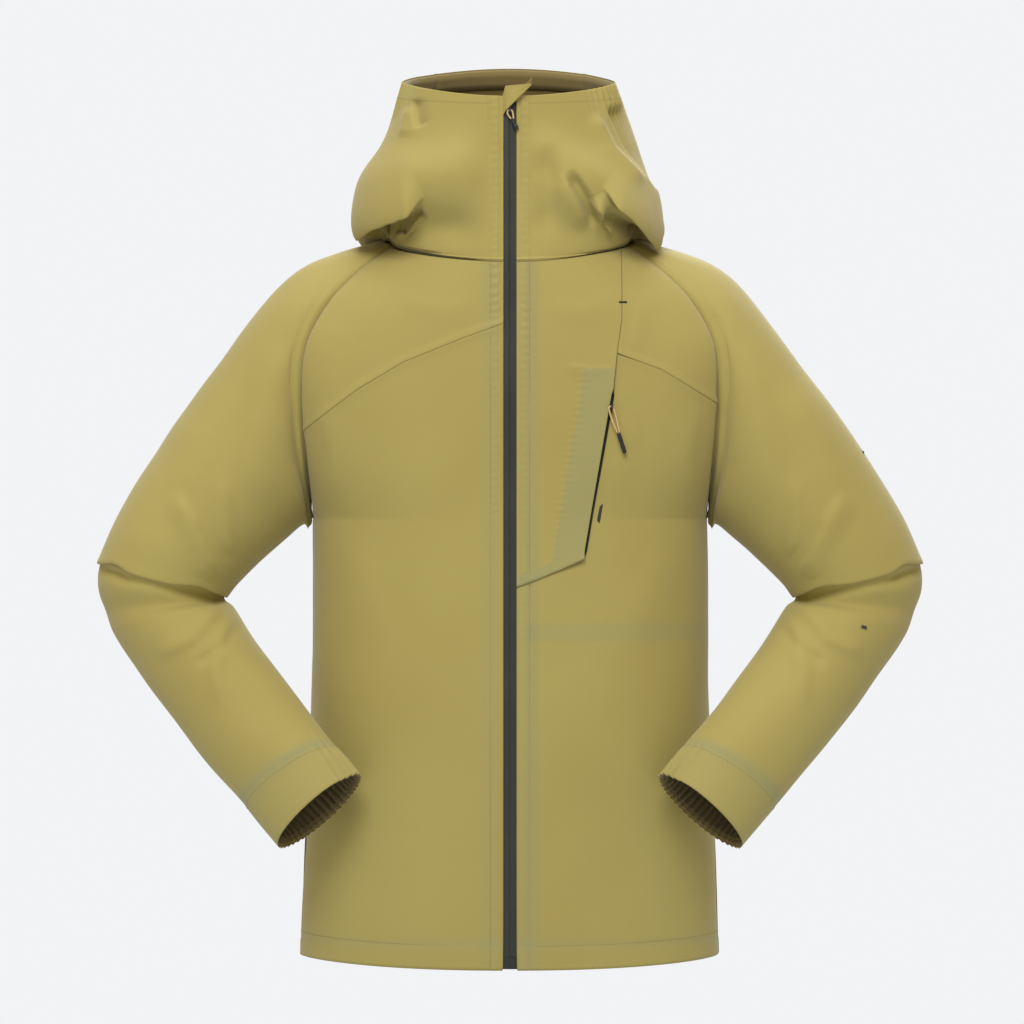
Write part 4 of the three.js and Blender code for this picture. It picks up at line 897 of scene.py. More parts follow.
# The elbow's fold: the cloth rolls in at the end of the upper part and turns up inside.
rim = arm[-1:]
middle = np.array(ELBOW, float)
across = unit(rim - middle)
down = np.array([np.sin(np.radians(FOLD_TOP)), 0, -np.cos(np.radians(FOLD_TOP))])
roll = np.radians(np.linspace(20, 200, 9))[1:, None, None]
lip = rim + across * (1.9 * (np.cos(roll) - 1)) + down * (1.9 * np.sin(roll))
arm = np.concatenate([arm, lip])
rows = len(arm)
turn = np.broadcast_to(turns, (rows, len(turns)))
along_arm = np.concatenate([np.zeros(3), np.linspace(0, 1, rows - 11), np.ones(8)])
along_arm = along_arm[:, None] * np.ones(len(turns))


UPPER_FOLDS = [
    ([(240, -70), (262, -160), (268, -270)], 2.6, 16, 22, 0.3),
    ([(286, -120), (322, -190), (345, -262)], 2.2, 22, 14, 0.3),
    ([(300, -336), (322, -290), (352, -236)], 4.2, 8, 14, 0.25),
    ([(292, -320), (296, -270), (300, -214)], 3.0, 9, 9, 0.3),
    ([(284, -330), (306, -300), (326, -268)], -3.0, 7, 5, 0.2),
]


def sleeve_shape(at, turn, t, seed):
    """Slow drape along the arm, the folds pulled down it and a ridge at the raglan seam; the
    armhole's valley is added by a drift of its own.
    """
    x, z = at[..., 0], at[..., 2]
    slow = 1.6 * uneven(x, z, 190, seed) + 0.6 * uneven(x, z, 80, seed + 1)
    ahead = np.sin(2 * np.pi * turn)
    ridge = 1.2 * bell(t - 0.02, 0.012) - 1.1 * bell(t, 0.006)
    pulled = folded(np.abs(x), z, UPPER_FOLDS) * smooth(0.03, 0.16, t)
    loose = slow * smooth(0.04, 0.2, t) + pulled * (0.35 + 0.65 * smooth(-0.3, 0.3, ahead))
    # The forearm turns into the lower part, so the cloth only stands outwards there.
    lower = smooth(0.55, 0.7, t)
    loose = mix(loose, np.maximum(loose, 0) + 0.3, lower)
    return loose * (1 - smooth(0.93, 1, t)) + ridge


def elbow_openings(at, turn, t):
    """The two slits that the slack cloth leaves along the front of the elbow's fold: the
    sleeve's edge is drawn up the arm there, by a bell round the middle of each."""
    x = np.abs(at[..., 0])
    lens = 5.5 * bell(x - 414, 13) + 5.0 * bell(x - 326, 19)
    ramp = smooth(0.9, 0.985, t) * smooth(0, 0.25, np.sin(2 * np.pi * turn))
    lean = np.array([-np.sin(np.radians(FOLD_TOP)), 0, np.cos(np.radians(FOLD_TOP))])
    return (lens * ramp)[..., None] * lean


turn_f, t_f = np.meshgrid(np.linspace(0, 1, 150, endpoint=False), np.linspace(0, 1, 176))
forearm = sleeve(FOREARM_ROWS, turn_f, t_f)


FOREARM_FOLDS = [
    ([(298, -352), (330, -392), (372, -412)], 3.6, 12, 7, 0.25),
    ([(290, -362), (304, -420), (300, -470)], 3.0, 9, 9, 0.3),
    ([(204, -492), (236, -520), (262, -566)], 2.4, 9, 12, 0.3),
    ([(280, -372), (296, -398), (330, -420)], -2.6, 5, 7, 0.25),
]


def forearm_shape(at, turn, t, seed):
    """Drape along the forearm, the cuff's turned strip, and the gathers of the elastic
    that draws in the back half of the cuff."""
    x, z = at[..., 0], at[..., 2]
    slow = 1.5 * uneven(x, z, 160, seed) + 0.5 * uneven(x, z, 70, seed + 1)
    strip = 0.5 * smooth(0.872, 0.88, t)
    behind = smooth(0.47, 0.56, turn) * (1 - smooth(0.96, 1.0, turn))
    pleats = np.sin(2 * np.pi * turn * 46 + 1.2 * uneven(turn * 300, t * 60, 60, seed + 2))
    gather = 1.9 * pleats * behind * smooth(0.85, 0.95, t)
    corner = bell(turn - 0.44, 0.06) * smooth(0.8, 0.94, t)
    pinch = np.sin(2 * np.pi * (turn * 32 + 1.4 * t) + uneven(turn * 200, t * 90, 50, seed + 3))
    pinch = 2.6 * pinch * corner - 3.0 * bell(turn - 0.4, 0.05) * smooth(0.9, 1.0, t)
    ahead = smooth(-0.3, 0.3, np.sin(2 * np.pi * turn))
    x = np.abs(x)
    folds = folded(x, z, FOREARM_FOLDS)
    lens = 3.0 + 5.0 * bell(x - 412, 15) + 4.0 * bell(x - 326, 22)
    under = fold(x, z, [(434, -318), (400, -330), (350, -341), (296, -354)], 1.0, 6, 5.5, 0.08)
    # The outer side turns into the upper sleeve as the arm straightens, so it stays plain.
    plain = mix(0.33, 0.14, (1 - np.cos(2 * np.pi * turn)) / 2)
    loose = (slow + folds * ahead) * smooth(plain, plain + 0.15, t) * (1 - smooth(0.8, 0.95, t))
    return loose + strip + gather + pinch - lens * under * ahead


def row_middle(grid):
    """The middle of each row of a tube."""
    return grid.mean(axis=1, keepdims=True)


ARMS = (("left", 1, 51), ("right", -1, 61))
for side, sign, seed in ARMS:
    flip = np.array([sign, 1, 1])
    inner = row_middle(arm)
    inner[-8:] = inner[-9]
    upper_sleeve = cloth(
        side + "_upper_sleeve", arm * flip, inner * flip, around=True,
        shape=sleeve_shape(arm, turn, along_arm, seed), hangs_from=["back_panel"],
        drift=armhole(arm) + elbow_openings(arm, turn, along_arm) * flip,
    )
    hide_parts(side + "_sleeve_head", side + "_upper_sleeve")
    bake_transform(upper_sleeve)
    worn = 0.95 * bell(t_f - 0.866, 0.02) + 0.2 * smooth(0.88, 0.9, t_f)
    forearm_sleeve = cloth(
        side + "_forearm_sleeve", forearm * flip, row_middle(forearm) * flip, around=True,
        shape=forearm_shape(forearm, turn_f, t_f, seed + 5), worn=worn,
        hangs_from=[side + "_upper_sleeve"],
    )
    fit(forearm_sleeve, side + "_forearm", "shell_cloth", side + "_forearm_sleeve")

# ---- The hood -------------------------------------------------------------------------
# Two sides and a centre panel of shell cloth, sewn into the neck seam. It lies rolled
# down round the neck, so its sides sag over the shoulders and fold under themselves.
HOOD_ROWS = [
    NECK_ROWS,
    [[0, 132, NECK_MIDDLE_Y - zip_y(20), 20], [45, 136, 110, 17], [90, 152, 122, 34],
     [135, 176, 168, 2], [180, 172, 174, -34]],
    [[0, 140, NECK_MIDDLE_Y - zip_y(85), 85], [45, 150, 120, 72], [90, 161, 140, 50],
     [135, 180, 182, 30], [180, 176, 196, 10]],
    [[0, 128, NECK_MIDDLE_Y - zip_y(135), 135], [90, 138, 118, 118], [180, 140, 140, 120]],
    [[0, 112, NECK_MIDDLE_Y - zip_y(171), 171], [90, 112, 102, 193], [180, 112, 106, 215]],
]
CROWN_SEAM = 138


def hood(deg, v):
    """The hood round the neck: at each angle a cubic curve up through five loops, from
    the neck seam (0) to the edge of its opening (1)."""
    deg, v = np.broadcast_arrays(np.asarray(deg, float), np.asarray(v, float))
    stack = np.stack([loop(rows, deg) for rows in HOOD_ROWS])
    i = np.clip(np.ceil(v * 4) - 1, 0, 3).astype(int)[None, ..., None]
    s = np.clip(v * 4 - i[0, ..., 0], 0, 1)[..., None]

    def take(k):
        return np.take_along_axis(stack, np.clip(k, 0, 4), 0)[0]

    a, b, before, after = take(i), take(i + 1), take(i - 1), take(i + 2)
    first, last = (i[0] == 0), (i[0] == 3)
    slope_in = np.where(first, b - before, (b - before) / 2)
    slope_out = np.where(last, after - a, (after - a) / 2)
    return (a * (1 + 2 * s) * (1 - s) ** 2 + b * s * s * (3 - 2 * s)
            + slope_in * s * (1 - s) ** 2 - slope_out * s * s * (1 - s))


UNDERFOLDS = {
    0: [([(86, 68), (112, 60), (136, 53), (168, 38)], 17, 18),
        ([(100, 36), (118, 35), (140, 28)], 7, 8)],
    1: [([(92, 78), (112, 66), (134, 48), (164, 29)], 19, 16),
        ([(84, 66), (96, 52), (108, 34)], 9, 8)],
}


def hood_sag(at, left):
    """How far the cloth above each under-fold hangs down over the cloth below it: a bell
    that is wide above the fold's line and narrow under it."""
    x, z = np.abs(at[..., 0]), at[..., 2]
    ahead = smooth(0, 40, -at[..., 1])
    return ahead * sum(fold(x, z, line, deep, wide, 2.6, 0.16)
                       for line, deep, wide in UNDERFOLDS[left])


HOOD_FOLDS = {
    0: [
        ([(24, 120), (70, 96), (120, 78)], 3.5, 26, 24, 0.3),
        ([(101, 172), (99, 154), (95, 138)], -5.0, 2.2, 9, 0.2),
        ([(106, 166), (110, 150), (112, 128)], 3.0, 4, 12, 0.3),
        ([(88, 56), (120, 44), (158, 27)], -14, 2.5, 10, 0.15),
        ([(92, 50), (110, 34), (124, 22)], 3.5, 4, 4, 0.2),
        ([(120, 50), (126, 38), (132, 24)], -3.0, 2.5, 4, 0.2),
    ],
    1: [
        ([(14, 138), (52, 112), (94, 78), (150, 40)], 4.5, 16, 26, 0.2),
        ([(60, 94), (80, 66), (98, 36)], -9, 2.6, 12, 0.25),
        ([(48, 92), (68, 62), (84, 30)], 6.5, 4, 15, 0.3),
        ([(34, 124), (42, 80), (36, 20)], -6.5, 12, 14, 0.3),
        ([(104, 166), (122, 122), (154, 76)], -8.0, 16, 2.6, 0.1),
        ([(88, 158), (106, 118), (138, 80)], 4.5, 4, 10, 0.2),
        ([(92, 60), (116, 46), (152, 24)], -14, 2.5, 10, 0.15),
    ],
}


def hood_shape(at, deg, v, left):
    """The hood's folds: the strip by the zip, gathers and a tuck at the sides of its
    opening, a soft bulge over a hollow, the creases that run down to the under-folds and
    the ridges of its seams."""
    x, z, turn = np.abs(at[..., 0]), at[..., 2], np.abs(deg)
    ahead = smooth(0, 30, -at[..., 1])
    strip, pucker = zip_strip(x, z, 0.6, 0.16, 15 + left)
    beside_crown = np.where(turn <= CROWN_SEAM, 1 - smooth(116, 134, turn),
                            smooth(142, 156, turn) * (1 - smooth(204, 218, turn)))
    slow = 1.5 * uneven(x, z, 120, 91 + left) * smooth(8, 50, x) * beside_crown
    middle, spread, deep = (64, 13, 3.0) if left else (80, 10, 1.5)
    pleats = np.sin(2 * np.pi * turn / 4.6 + 1.1 * uneven(x, z, 40, 17 + left))
    gather = deep * pleats * bell(turn - middle, spread) * smooth(0.82, 0.95, v)
    bulge = 11 * bell(z - 84, 34) - 9 * bell(z - 34, 19)
    bulge = bulge * smooth(12, 62, x) * (0.6 if left else 1)
    folds = folded(x, z, HOOD_FOLDS[left])
    sag = 0.75 * hood_sag(at, left)
    crown = 1.3 * bell(turn - CROWN_SEAM + 3, 1.6)
    seam = 1.4 * bell(v - 0.02, 0.018)
    in_front = strip + pucker + bulge + folds
    return in_front * ahead + slow + gather + sag + crown + seam


def hood_middle(at):
    """A point inside the hood for each point of it."""
    return at * [0, 0, 0.3] + [0, NECK_MIDDLE_Y, 60]


def hood_piece(name, deg, v, sign, left):
    """One panel of the hood, riding on the torso."""
    at = hood(deg, v)
    shape = hood_shape(at, deg, v, left)
    grid = at * [sign, 1, 1]
    sag = hood_sag(at, left)[..., None] * [0, 0, -1.1]
    # The seam allowance runs on under the fronts, the back and the sleeves.
    inwards = unit((np.array([0, NECK_MIDDLE_Y, 0]) - grid[:1]) * [1, 1, 0])
    down = unit(grid[:1] - grid[2:3])
    allowance = [grid[:1] + down * far + inwards * deep for far, deep in ((6, 3.4), (3, 2.4))]
    grid = np.concatenate([*allowance, grid])
    shape = np.concatenate([0 * shape[:2], shape])
    sag = np.concatenate([0 * sag[:2], sag])
    piece = cloth(name, grid, hood_middle(grid), shape=shape, drift=sag,
                  held="folded", hangs_from=["back_panel", "left_sleeve_head", "right_sleeve_head"])
    fit(piece, "torso", "shell_cloth", name)


v_up = np.linspace(0.0, 1, 160)
low_deg = np.zeros(len(v_up))
for _ in range(60):
    low_deg = low_deg + (ZIP_SLOT - hood(low_deg, v_up)[:, 0]) * 0.3
s, v = np.meshgrid(np.linspace(0, 1, 230), v_up)
deg = mix(low_deg[:, None], CROWN_SEAM, s ** 1.1)
hood_piece("hood_left_side", deg, v, 1, 1)
hood_piece("hood_right_side", deg, v, -1, 0)
s, v = np.meshgrid(np.linspace(CROWN_SEAM, 360 - CROWN_SEAM, 100), v_up)
hood_piece("hood_centre_panel", s, v, 1, 1)

# ---- The front zip ----------------------------------------------------------------------
# A water-resistant coil zip. Two tapes coated in smooth dark polyurethane lie behind the
# fronts with their edges together, and the nylon coils are woven to their backs.
ZIP_FOOT, ZIP_TOP_Z = np.array([0, HEM_FRONT_Y, HEM_Z]), 170
ZIP_LENGTH = (ZIP_TOP_Z - HEM_Z) * np.hypot(1, ZIP_LEAN)
TAPE, TAPE_HALF, TAPE_DEPTH = 0.8, 15, 2.4
SIDES = (("left", 1, 1), ("right", -1, 0))


def zip_place(x, deep, up):
    """A point beside the zip's middle, behind the fronts' face and up from its foot."""
    x, deep, up = np.broadcast_arrays(np.asarray(x, float), deep, up)
    return (ZIP_FOOT + x[..., None] * main_pull.across + deep[..., None] * main_pull.inwards
            + up[..., None] * main_pull.up)


def coated(name, dark, light, pitch):
    """A tape's smooth coating: the teeth behind it show as faint ribs across it."""
    material, tree, shader = finish_of(name, light, 0.36)
    cloth_place = node(tree, "TexCoord").outputs["UV"]
    place = node(tree, "TexCoord").outputs["Object"]
    clouds = node(tree, "TexNoise", Vector=place, Scale=14.0, Detail=3.0).outputs["Fac"]
    coloured(tree, shader, clouds, dark, light)
    ribs = node(tree, "TexWave", {"bands_direction": "Y"}, Vector=cloth_place,
                Scale=0.314 / pitch, Distortion=0.3).outputs["Fac"]
    rough = node(tree, "MapRange", _0=clouds, _3=0.3, _4=0.46).outputs[0]
    tree.links.new(rough, shader.inputs["Roughness"])
    rippled(tree, shader, ribs, 0.35, 0.00015)
    return material


def refinish(look, *names):
    """A better material for pieces whose shape is already right."""
    for name in names:
        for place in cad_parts[name].material_slots:
            place.material = look


tape_look = coated("coated tape", (0.026, 0.029, 0.03), (0.048, 0.051, 0.05), 0.0014)
hard_look = rubber("moulded nylon", (0.016, 0.018, 0.021), (0.04, 0.043, 0.047))
coil_look, coil_tree, coil_shader = finish_of("nylon coil", (0.03, 0.032, 0.034), 0.5)
coil_place = node(coil_tree, "TexCoord").outputs["Object"]
coil_turns = node(
    coil_tree, "TexWave", {"bands_direction": "Z"}, Vector=coil_place, Scale=240.0,
).outputs["Fac"]
# The coil is darker between its turns, by the same waves as its bump: painted shade in the gaps.
coloured(coil_tree, coil_shader, coil_turns, (0.014, 0.015, 0.016), (0.05, 0.053, 0.056))
rippled(coil_tree, coil_shader, coil_turns, 1.0, 0.0005)

x, up = np.meshgrid(np.linspace(0.15, TAPE_HALF, 30), np.linspace(1.5, ZIP_LENGTH, 320))
for side, sign, _ in SIDES:
    rolled = 0.32 * bell(x - 2.3, 1.3) - 0.25 * bell(x - 0.7, 0.5)
    waves = 0.12 * uneven(x, up, 46, 140 + sign)
    grid = zip_place(sign * x, TAPE_DEPTH - rolled - waves, up)
    tape = cloth(side + "_zip_tape", grid, grid + [0, 50, 0], [tape_look, tape_look], wall=TAPE,
                 held="stretched", hangs_from=[side + "_front_panel"])
    fit(tape, "torso", "zip_tape", side + "_zip_tape")
    refinish(coil_look, side + "_zip_coil")
    refinish(hard_look, side + "_zip_stop")
refinish(hard_look, "zip_box", "zip_pin", "zip_slider")

# ---- Behind the front zip ---------------------------------------------------------------
# A storm flap of backing cloth lies behind the whole zip, stitched beside the right tape,
# and a facing strip backs the edge of each front.
backing = shell_look("facing cloth", (0.2, 0.15, 0.055), (0.245, 0.19, 0.075), (0.2, 0.17, 0.06))
FLAP_ROWS = [[0, 13, 7.7], [0.5, -4, 7.7], [0.72, -8.4, 7.1], [0.86, -11.0, 4.1], [1, -15, 3.6]]
s, up = np.meshgrid(np.linspace(0, 1, 34), np.linspace(33, ZIP_LENGTH - 6, 260))
flap_place = along(FLAP_ROWS, s)
grid = zip_place(flap_place[..., 0], flap_place[..., 1] + 0.25 * uneven(s * 30, up, 90, 150), up)
flap = cloth("storm_flap", grid, grid + [0, 50, 0], [backing, backing],
             held="hung", hangs_from=["right_zip_tape"])
fit(flap, "torso", "lining_cloth", "storm_flap")

x, z = np.meshgrid(np.linspace(16, 30, 14), np.linspace(-704, -4, 230))
facing_at = front(*front_at(x, z))
for side, sign, left in SIDES:
    grid = facing_at * [sign, 1, 1]
    facing = cloth(side + "_zip_facing", grid, grid * [0, 0, 1], [backing, backing],
                   shape=front_shape(facing_at, left) - 1.5, hangs_from=[side + "_front_panel"])
    fit(facing, "torso", "lining_cloth", side + "_zip_facing")

# ---- The zip garage ---------------------------------------------------------------------
# A folded corner of shell cloth, sewn to the right front, that stands over the top of the
# zip. Its slanted lower edge is turned under.
s, t = np.meshgrid(np.linspace(0, 1, 46), np.linspace(0, 1, 34))
x = mix(-23, 22.6, s)
low = np.interp(x, [-9, -5.5, 23], [0, 8, 36])
high = np.interp(x, [-23, -8, -5, 23], [22, 22, 34, 36])
foot = (SLIDER_REST_Z - HEM_Z) * np.hypot(1, ZIP_LEAN) - 11
deep = along([[-23, 1.5], [-8.4, 1.5], [-6.6, -0.8], [-3, -4.8], [3, -6.4], [23, -6.4]], x)[..., 0]
deep = deep - 0.35 * uneven(x, t * 36, 22, 160) * smooth(-6, 0, x)
grid = zip_place(x, deep, foot + mix(low, np.maximum(high, low + 0.2), t))
under = np.radians(np.linspace(180, 20, 7))[:, None]
reach = 1.1 * (1 + np.cos(under))
rolled_edge = zip_place(
    x[:1], deep[:1] + 2.2 - reach,
    foot + low[:1] + 0.3 - 1.3 * np.sin(under) * smooth(-23, -20, x[:1]),
)
tucked = zip_place(x[:1], deep[:1] + 2.2, foot + low[:1] + np.array([[7.0], [4.0], [1.5]]))
grid = np.concatenate([tucked, rolled_edge, grid])
garage = cloth("zip_garage", grid, grid + [0, 50, 0], held="folded", hangs_from=["hood_right_side"])
fit(garage, "torso", "shell_cloth", "zip_garage")

# ---- The chest pocket -------------------------------------------------------------------
# A slanted zip set behind the slit between the pocket's panel and the front, on two coated
# tapes, with a bag of backing cloth bonded inside.
POCKET_FOOT = np.array([77, -120.211955, -309])
POCKET_ACROSS, POCKET_IN, POCKET_UP = pocket_pull.across, pocket_pull.inwards, pocket_pull.up
POCKET_LENGTH, TAPE_DEEP, TAPE_SEAT, BAG_DEEP = 168.567, 5.9066, 4.1066, 12.2066
x, up = np.meshgrid(np.linspace(0.15, 10, 24), np.linspace(-4, POCKET_LENGTH + 4, 110))
for side, sign in (("outer", 1), ("inner", -1)):
    deep = mix(TAPE_DEEP, TAPE_SEAT, smooth(5, 7, x)) - 0.25 * bell(x - 1.8, 1.1)
    grid = (POCKET_FOOT + (sign * x)[..., None] * POCKET_ACROSS + deep[..., None] * POCKET_IN
            + up[..., None] * POCKET_UP)
    tape = cloth("pocket_zip_" + side + "_tape", grid, grid + 50 * POCKET_IN,
                 [tape_look, tape_look], wall=TAPE, held="stretched",
                 hangs_from=["left_pocket_panel"])
    fit(tape, "torso", "zip_tape", "pocket_zip_" + side + "_tape")
    refinish(coil_look, "pocket_zip_" + side + "_coil")
refinish(hard_look, "pocket_slider")

BAG_INNER, BAG_OUTER, BAG_LOW, BAG_HIGH = 34, 192, -394, -104
x, z = np.meshgrid(np.linspace(BAG_INNER, BAG_OUTER, 70), np.linspace(BAG_LOW, BAG_HIGH, 110))
bag_at = front(*front_at(x, z))
room = smooth(0, 34, np.minimum(x - BAG_INNER, BAG_OUTER - x))
room = room * smooth(0, 34, np.minimum(z - BAG_LOW, BAG_HIGH - z))
sink = mix(2.3, BAG_DEEP, room) - 0.7 * uneven(x, z, 60, 170) * room
bag = cloth("pocket_bag", bag_at, bag_at * [0, 0, 1], [backing, backing], hangs_from=["left_yoke"],
            shape=front_shape(bag_at, 1) * (1 - room) - sink, drift=armhole(bag_at))
fit(bag, "torso", "lining_cloth", "pocket_bag")

# ---- Stitching --------------------------------------------------------------------------
# Lockstitched rows hold the turned edges: beside the zip, along the hem, round the hood's
# opening and round the cuffs. A tight black bar of stitches stops the pocket's seam.
HEM_TURN = 25 / (ARMPIT_Z - HEM_Z)  # the hem's turned strip, as a share of the way up
HOOD_TURN, HOOD_EDGE = 0.944, 0.997  # and the strips round the hood and the cuffs
CUFF_TURN = 0.8806
ZIP_ROW = 20.3  # from the zip's middle to the row of stitches beside it
thread = braid("matching thread", (0.24, 0.19, 0.07), (0.37, 0.3, 0.12))
black_thread = braid("black thread", (0.012, 0.013, 0.015), (0.045, 0.047, 0.05))


def stitches(name, places, ahead, out, length, width, look):
    """A row of stitches as one mesh: at each place a short bar lies along the seam, round
    in section, narrower at its ends, which dip into the cloth by the square of the way."""
    t = np.array([-0.5, -0.34, 0.34, 0.5])
    thick = width / 2 * np.array([0.45, 1, 1, 0.45])
    turn = np.linspace(0, 2 * np.pi, 6, endpoint=False)
    side = unit(np.cross(out, ahead))
    round_it = (np.cos(turn)[None, :, None] * side[:, None]
                + np.sin(turn)[None, :, None] * out[:, None])
    line = (places[:, None] + length * t[None, :, None] * ahead[:, None]
            - (width * 2.4 * t ** 2)[None, :, None] * out[:, None])
    points = line[:, :, None] + thick[None, :, None, None] * round_it[:, None]
    r, c = quads(4, 6, True)
    one = (r * 6 + c % 6).tolist() + [list(range(6))[::-1], list(range(18, 24))]
    faces = [[i + 24 * k for i in face] for k in range(len(places)) for face in one]
    return put(name, points.reshape(-1, 3), faces, [look])


def stitched(name, line, out, body_name, slot_name, pitch=3.3, look=thread):
    """A row of stitches along a line on the cloth, an equal distance apart."""
    reach = distance_along(line)
    at = np.arange(pitch / 2, reach[-1], pitch)

    def take(rows):
        return np.column_stack([np.interp(at, reach, rows[:, k]) for k in range(3)])

    places, normals = take(line), unit(take(out))
    ahead = unit(take(np.gradient(line, axis=0)))
    row = stitches(name, places + 0.12 * normals, ahead, normals, pitch * 0.72, 0.55, look)
    fit(row, body_name, slot_name)


def on_surface(surface, a, b, shape, middle, flip=1):
    """A line on a displaced surface, with its outward vectors: each is the cross product
    of the surface's two slopes there."""
    step = 1e-3
    at = surface(a, b)
    normal = unit(np.cross(surface(a + step, b) - surface(a - step, b),
                           surface(a, b + step) - surface(a, b - step)))
    normal = normal * np.sign(np.sum(normal * (at - middle(at)), -1))[:, None]
    flip = np.array([flip, 1, 1])
    return (at + normal * shape(at)[:, None]) * flip, normal * flip


def trunk_middle(at):
    """The middle of the trunk level with each point."""
    return at * [0, 0, 1]


for side, sign, left in SIDES:
    u, v = front_at(np.full(300, ZIP_ROW), np.linspace(HEM_Z + 3, -3, 300))
    line, out = on_surface(front, u, v, lambda at: front_shape(at, left), trunk_middle, sign)
    stitched(side + "_zip_stitches", line, out, "torso", "shell_cloth")
    u = np.linspace(0.06, 0.995, 260)
    hem_v = np.full(260, HEM_TURN - 1)
    line, out = on_surface(front, u, hem_v, lambda at: front_shape(at, left), trunk_middle, sign)
    stitched(side + "_hem_stitches", line, out, "torso", "shell_cloth")
    deg = np.linspace(9, CROWN_SEAM - 1, 240)
    edge_v = np.full(240, HOOD_TURN)
    line, out = on_surface(hood, deg, edge_v, lambda at: hood_shape(at, deg, edge_v, left),
                           hood_middle, sign)
    stitched(side + "_hood_stitches", line, out, "torso", "shell_cloth")
across = np.linspace(-0.995, 0.995, 420)
line, out = on_surface(back, across, np.full(420, HEM_TURN - 1),
                       lambda at: back_shape(at, across), trunk_middle)
stitched("back_hem_stitches", line, out, "torso", "shell_cloth")
tack_at = np.array([117, -105.4564, -43])
tack_out = -unit(np.array([-0.171972, 0.945934, -0.275016]))
tack_across = unit(np.cross([0, 0, 1], tack_out))
tack_up = np.cross(tack_out, tack_across)
spots = np.linspace(-3.8, 3.8, 20)
lean = np.where(np.arange(20) % 2, 0.25, -0.25)
tack = stitches("pocket_bar_tack", tack_at + spots[:, None] * tack_across + 1.1 * tack_out,
                unit(tack_up + lean[:, None] * tack_across), np.tile(tack_out, (20, 1)),
                2.3, 0.7, black_thread)
fit(tack, "torso", "moulded_black", "pocket_bar_tack")

# ---- Turned edges and their cords -------------------------------------------------------
# The hem and the hood's opening are turned in over a cord: an elastic drawcord with two
# moulded locks in the hem, and a stretch cord in the hood's edge.
elastic = braid("ribbed elastic", (0.1, 0.075, 0.03), (0.2, 0.155, 0.07))


def tunnel(v, low, high, cord):
    """How far a turned-in strip lies behind the cloth: close at both edges, and round its
    cord by a sine wave in between."""
    bulge = np.sin(np.pi * np.clip((v - low) / (high - low), 0, 1))
    return 1.4 + (cord + 1.2) * np.minimum(1, 1.35 * bulge)


def body_shape(at, deg):
    """The displacement of whichever front or back panel lies at that angle."""
    left, right = front_shape(at, 1), front_shape(at, 0)
    behind = back_shape(at, (180 - deg) / 90)
    return np.where(deg < 90, left, np.where(deg > 270, right, behind))


HEM_CORD, EDGE_CORD = 2.4, 2
deg, level = np.meshgrid(np.linspace(13.5, 346.5, 420), np.linspace(0.002, HEM_TURN, 12))
at = body(deg, level)
hem_facing = cloth("hem_facing", at, at * [0, 0, 1], [backing, backing], held="folded",
                   shape=body_shape(at, deg) - tunnel(level, 0.002, HEM_TURN, HEM_CORD),
                   hangs_from=["back_panel", "left_front_panel", "right_front_panel"])
fit(hem_facing, "torso", "lining_cloth", "hem_facing")
deg = np.linspace(50, 310, 300)
level = np.full(300, HEM_TURN / 2)
line, _ = on_surface(body, deg, level, lambda at: body_shape(at, deg) - 3.2, trunk_middle)
hem_cord = bar("hem_drawcord", line, ring(HEM_CORD, HEM_CORD, 10), elastic, (0, 0, 1))
fit(hem_cord, "torso", "elastic", "hem_drawcord")
refinish(hard_look, "left_hem_cord_lock", "right_hem_cord_lock",
         "left_hem_lock_button", "right_hem_lock_button")


def whole_hood_shape(at, deg, v):
    """The displacement of whichever hood panel lies at that angle."""
    mirror = at * [-1, 1, 1]
    return np.where(deg > 360 - CROWN_SEAM, hood_shape(mirror, 360 - deg, v, 0),
                    hood_shape(at, deg, v, 1))


deg, v = np.meshgrid(np.linspace(21.2, 338.8, 420), np.linspace(HOOD_TURN, HOOD_EDGE, 12))
at = hood(deg, v)
edge_facing = cloth("hood_edge_facing", at, hood_middle(at), [backing, backing], held="folded",
                    shape=whole_hood_shape(at, deg, v) - tunnel(v, HOOD_TURN, HOOD_EDGE, EDGE_CORD),
                    hangs_from=["hood_left_side", "hood_right_side", "hood_centre_panel"])
fit(edge_facing, "torso", "lining_cloth", "hood_edge_facing")
deg = np.linspace(40, 320, 300)
v = np.full(300, (HOOD_TURN + HOOD_EDGE) / 2)
line, _ = on_surface(hood, deg, v, lambda at: whole_hood_shape(at, deg, v) - 3.0, hood_middle)
edge_cord = bar("hood_elastic_cord", line, ring(EDGE_CORD, EDGE_CORD, 10), elastic, (0, 0, 1))
fit(edge_cord, "torso", "elastic", "hood_elastic_cord")

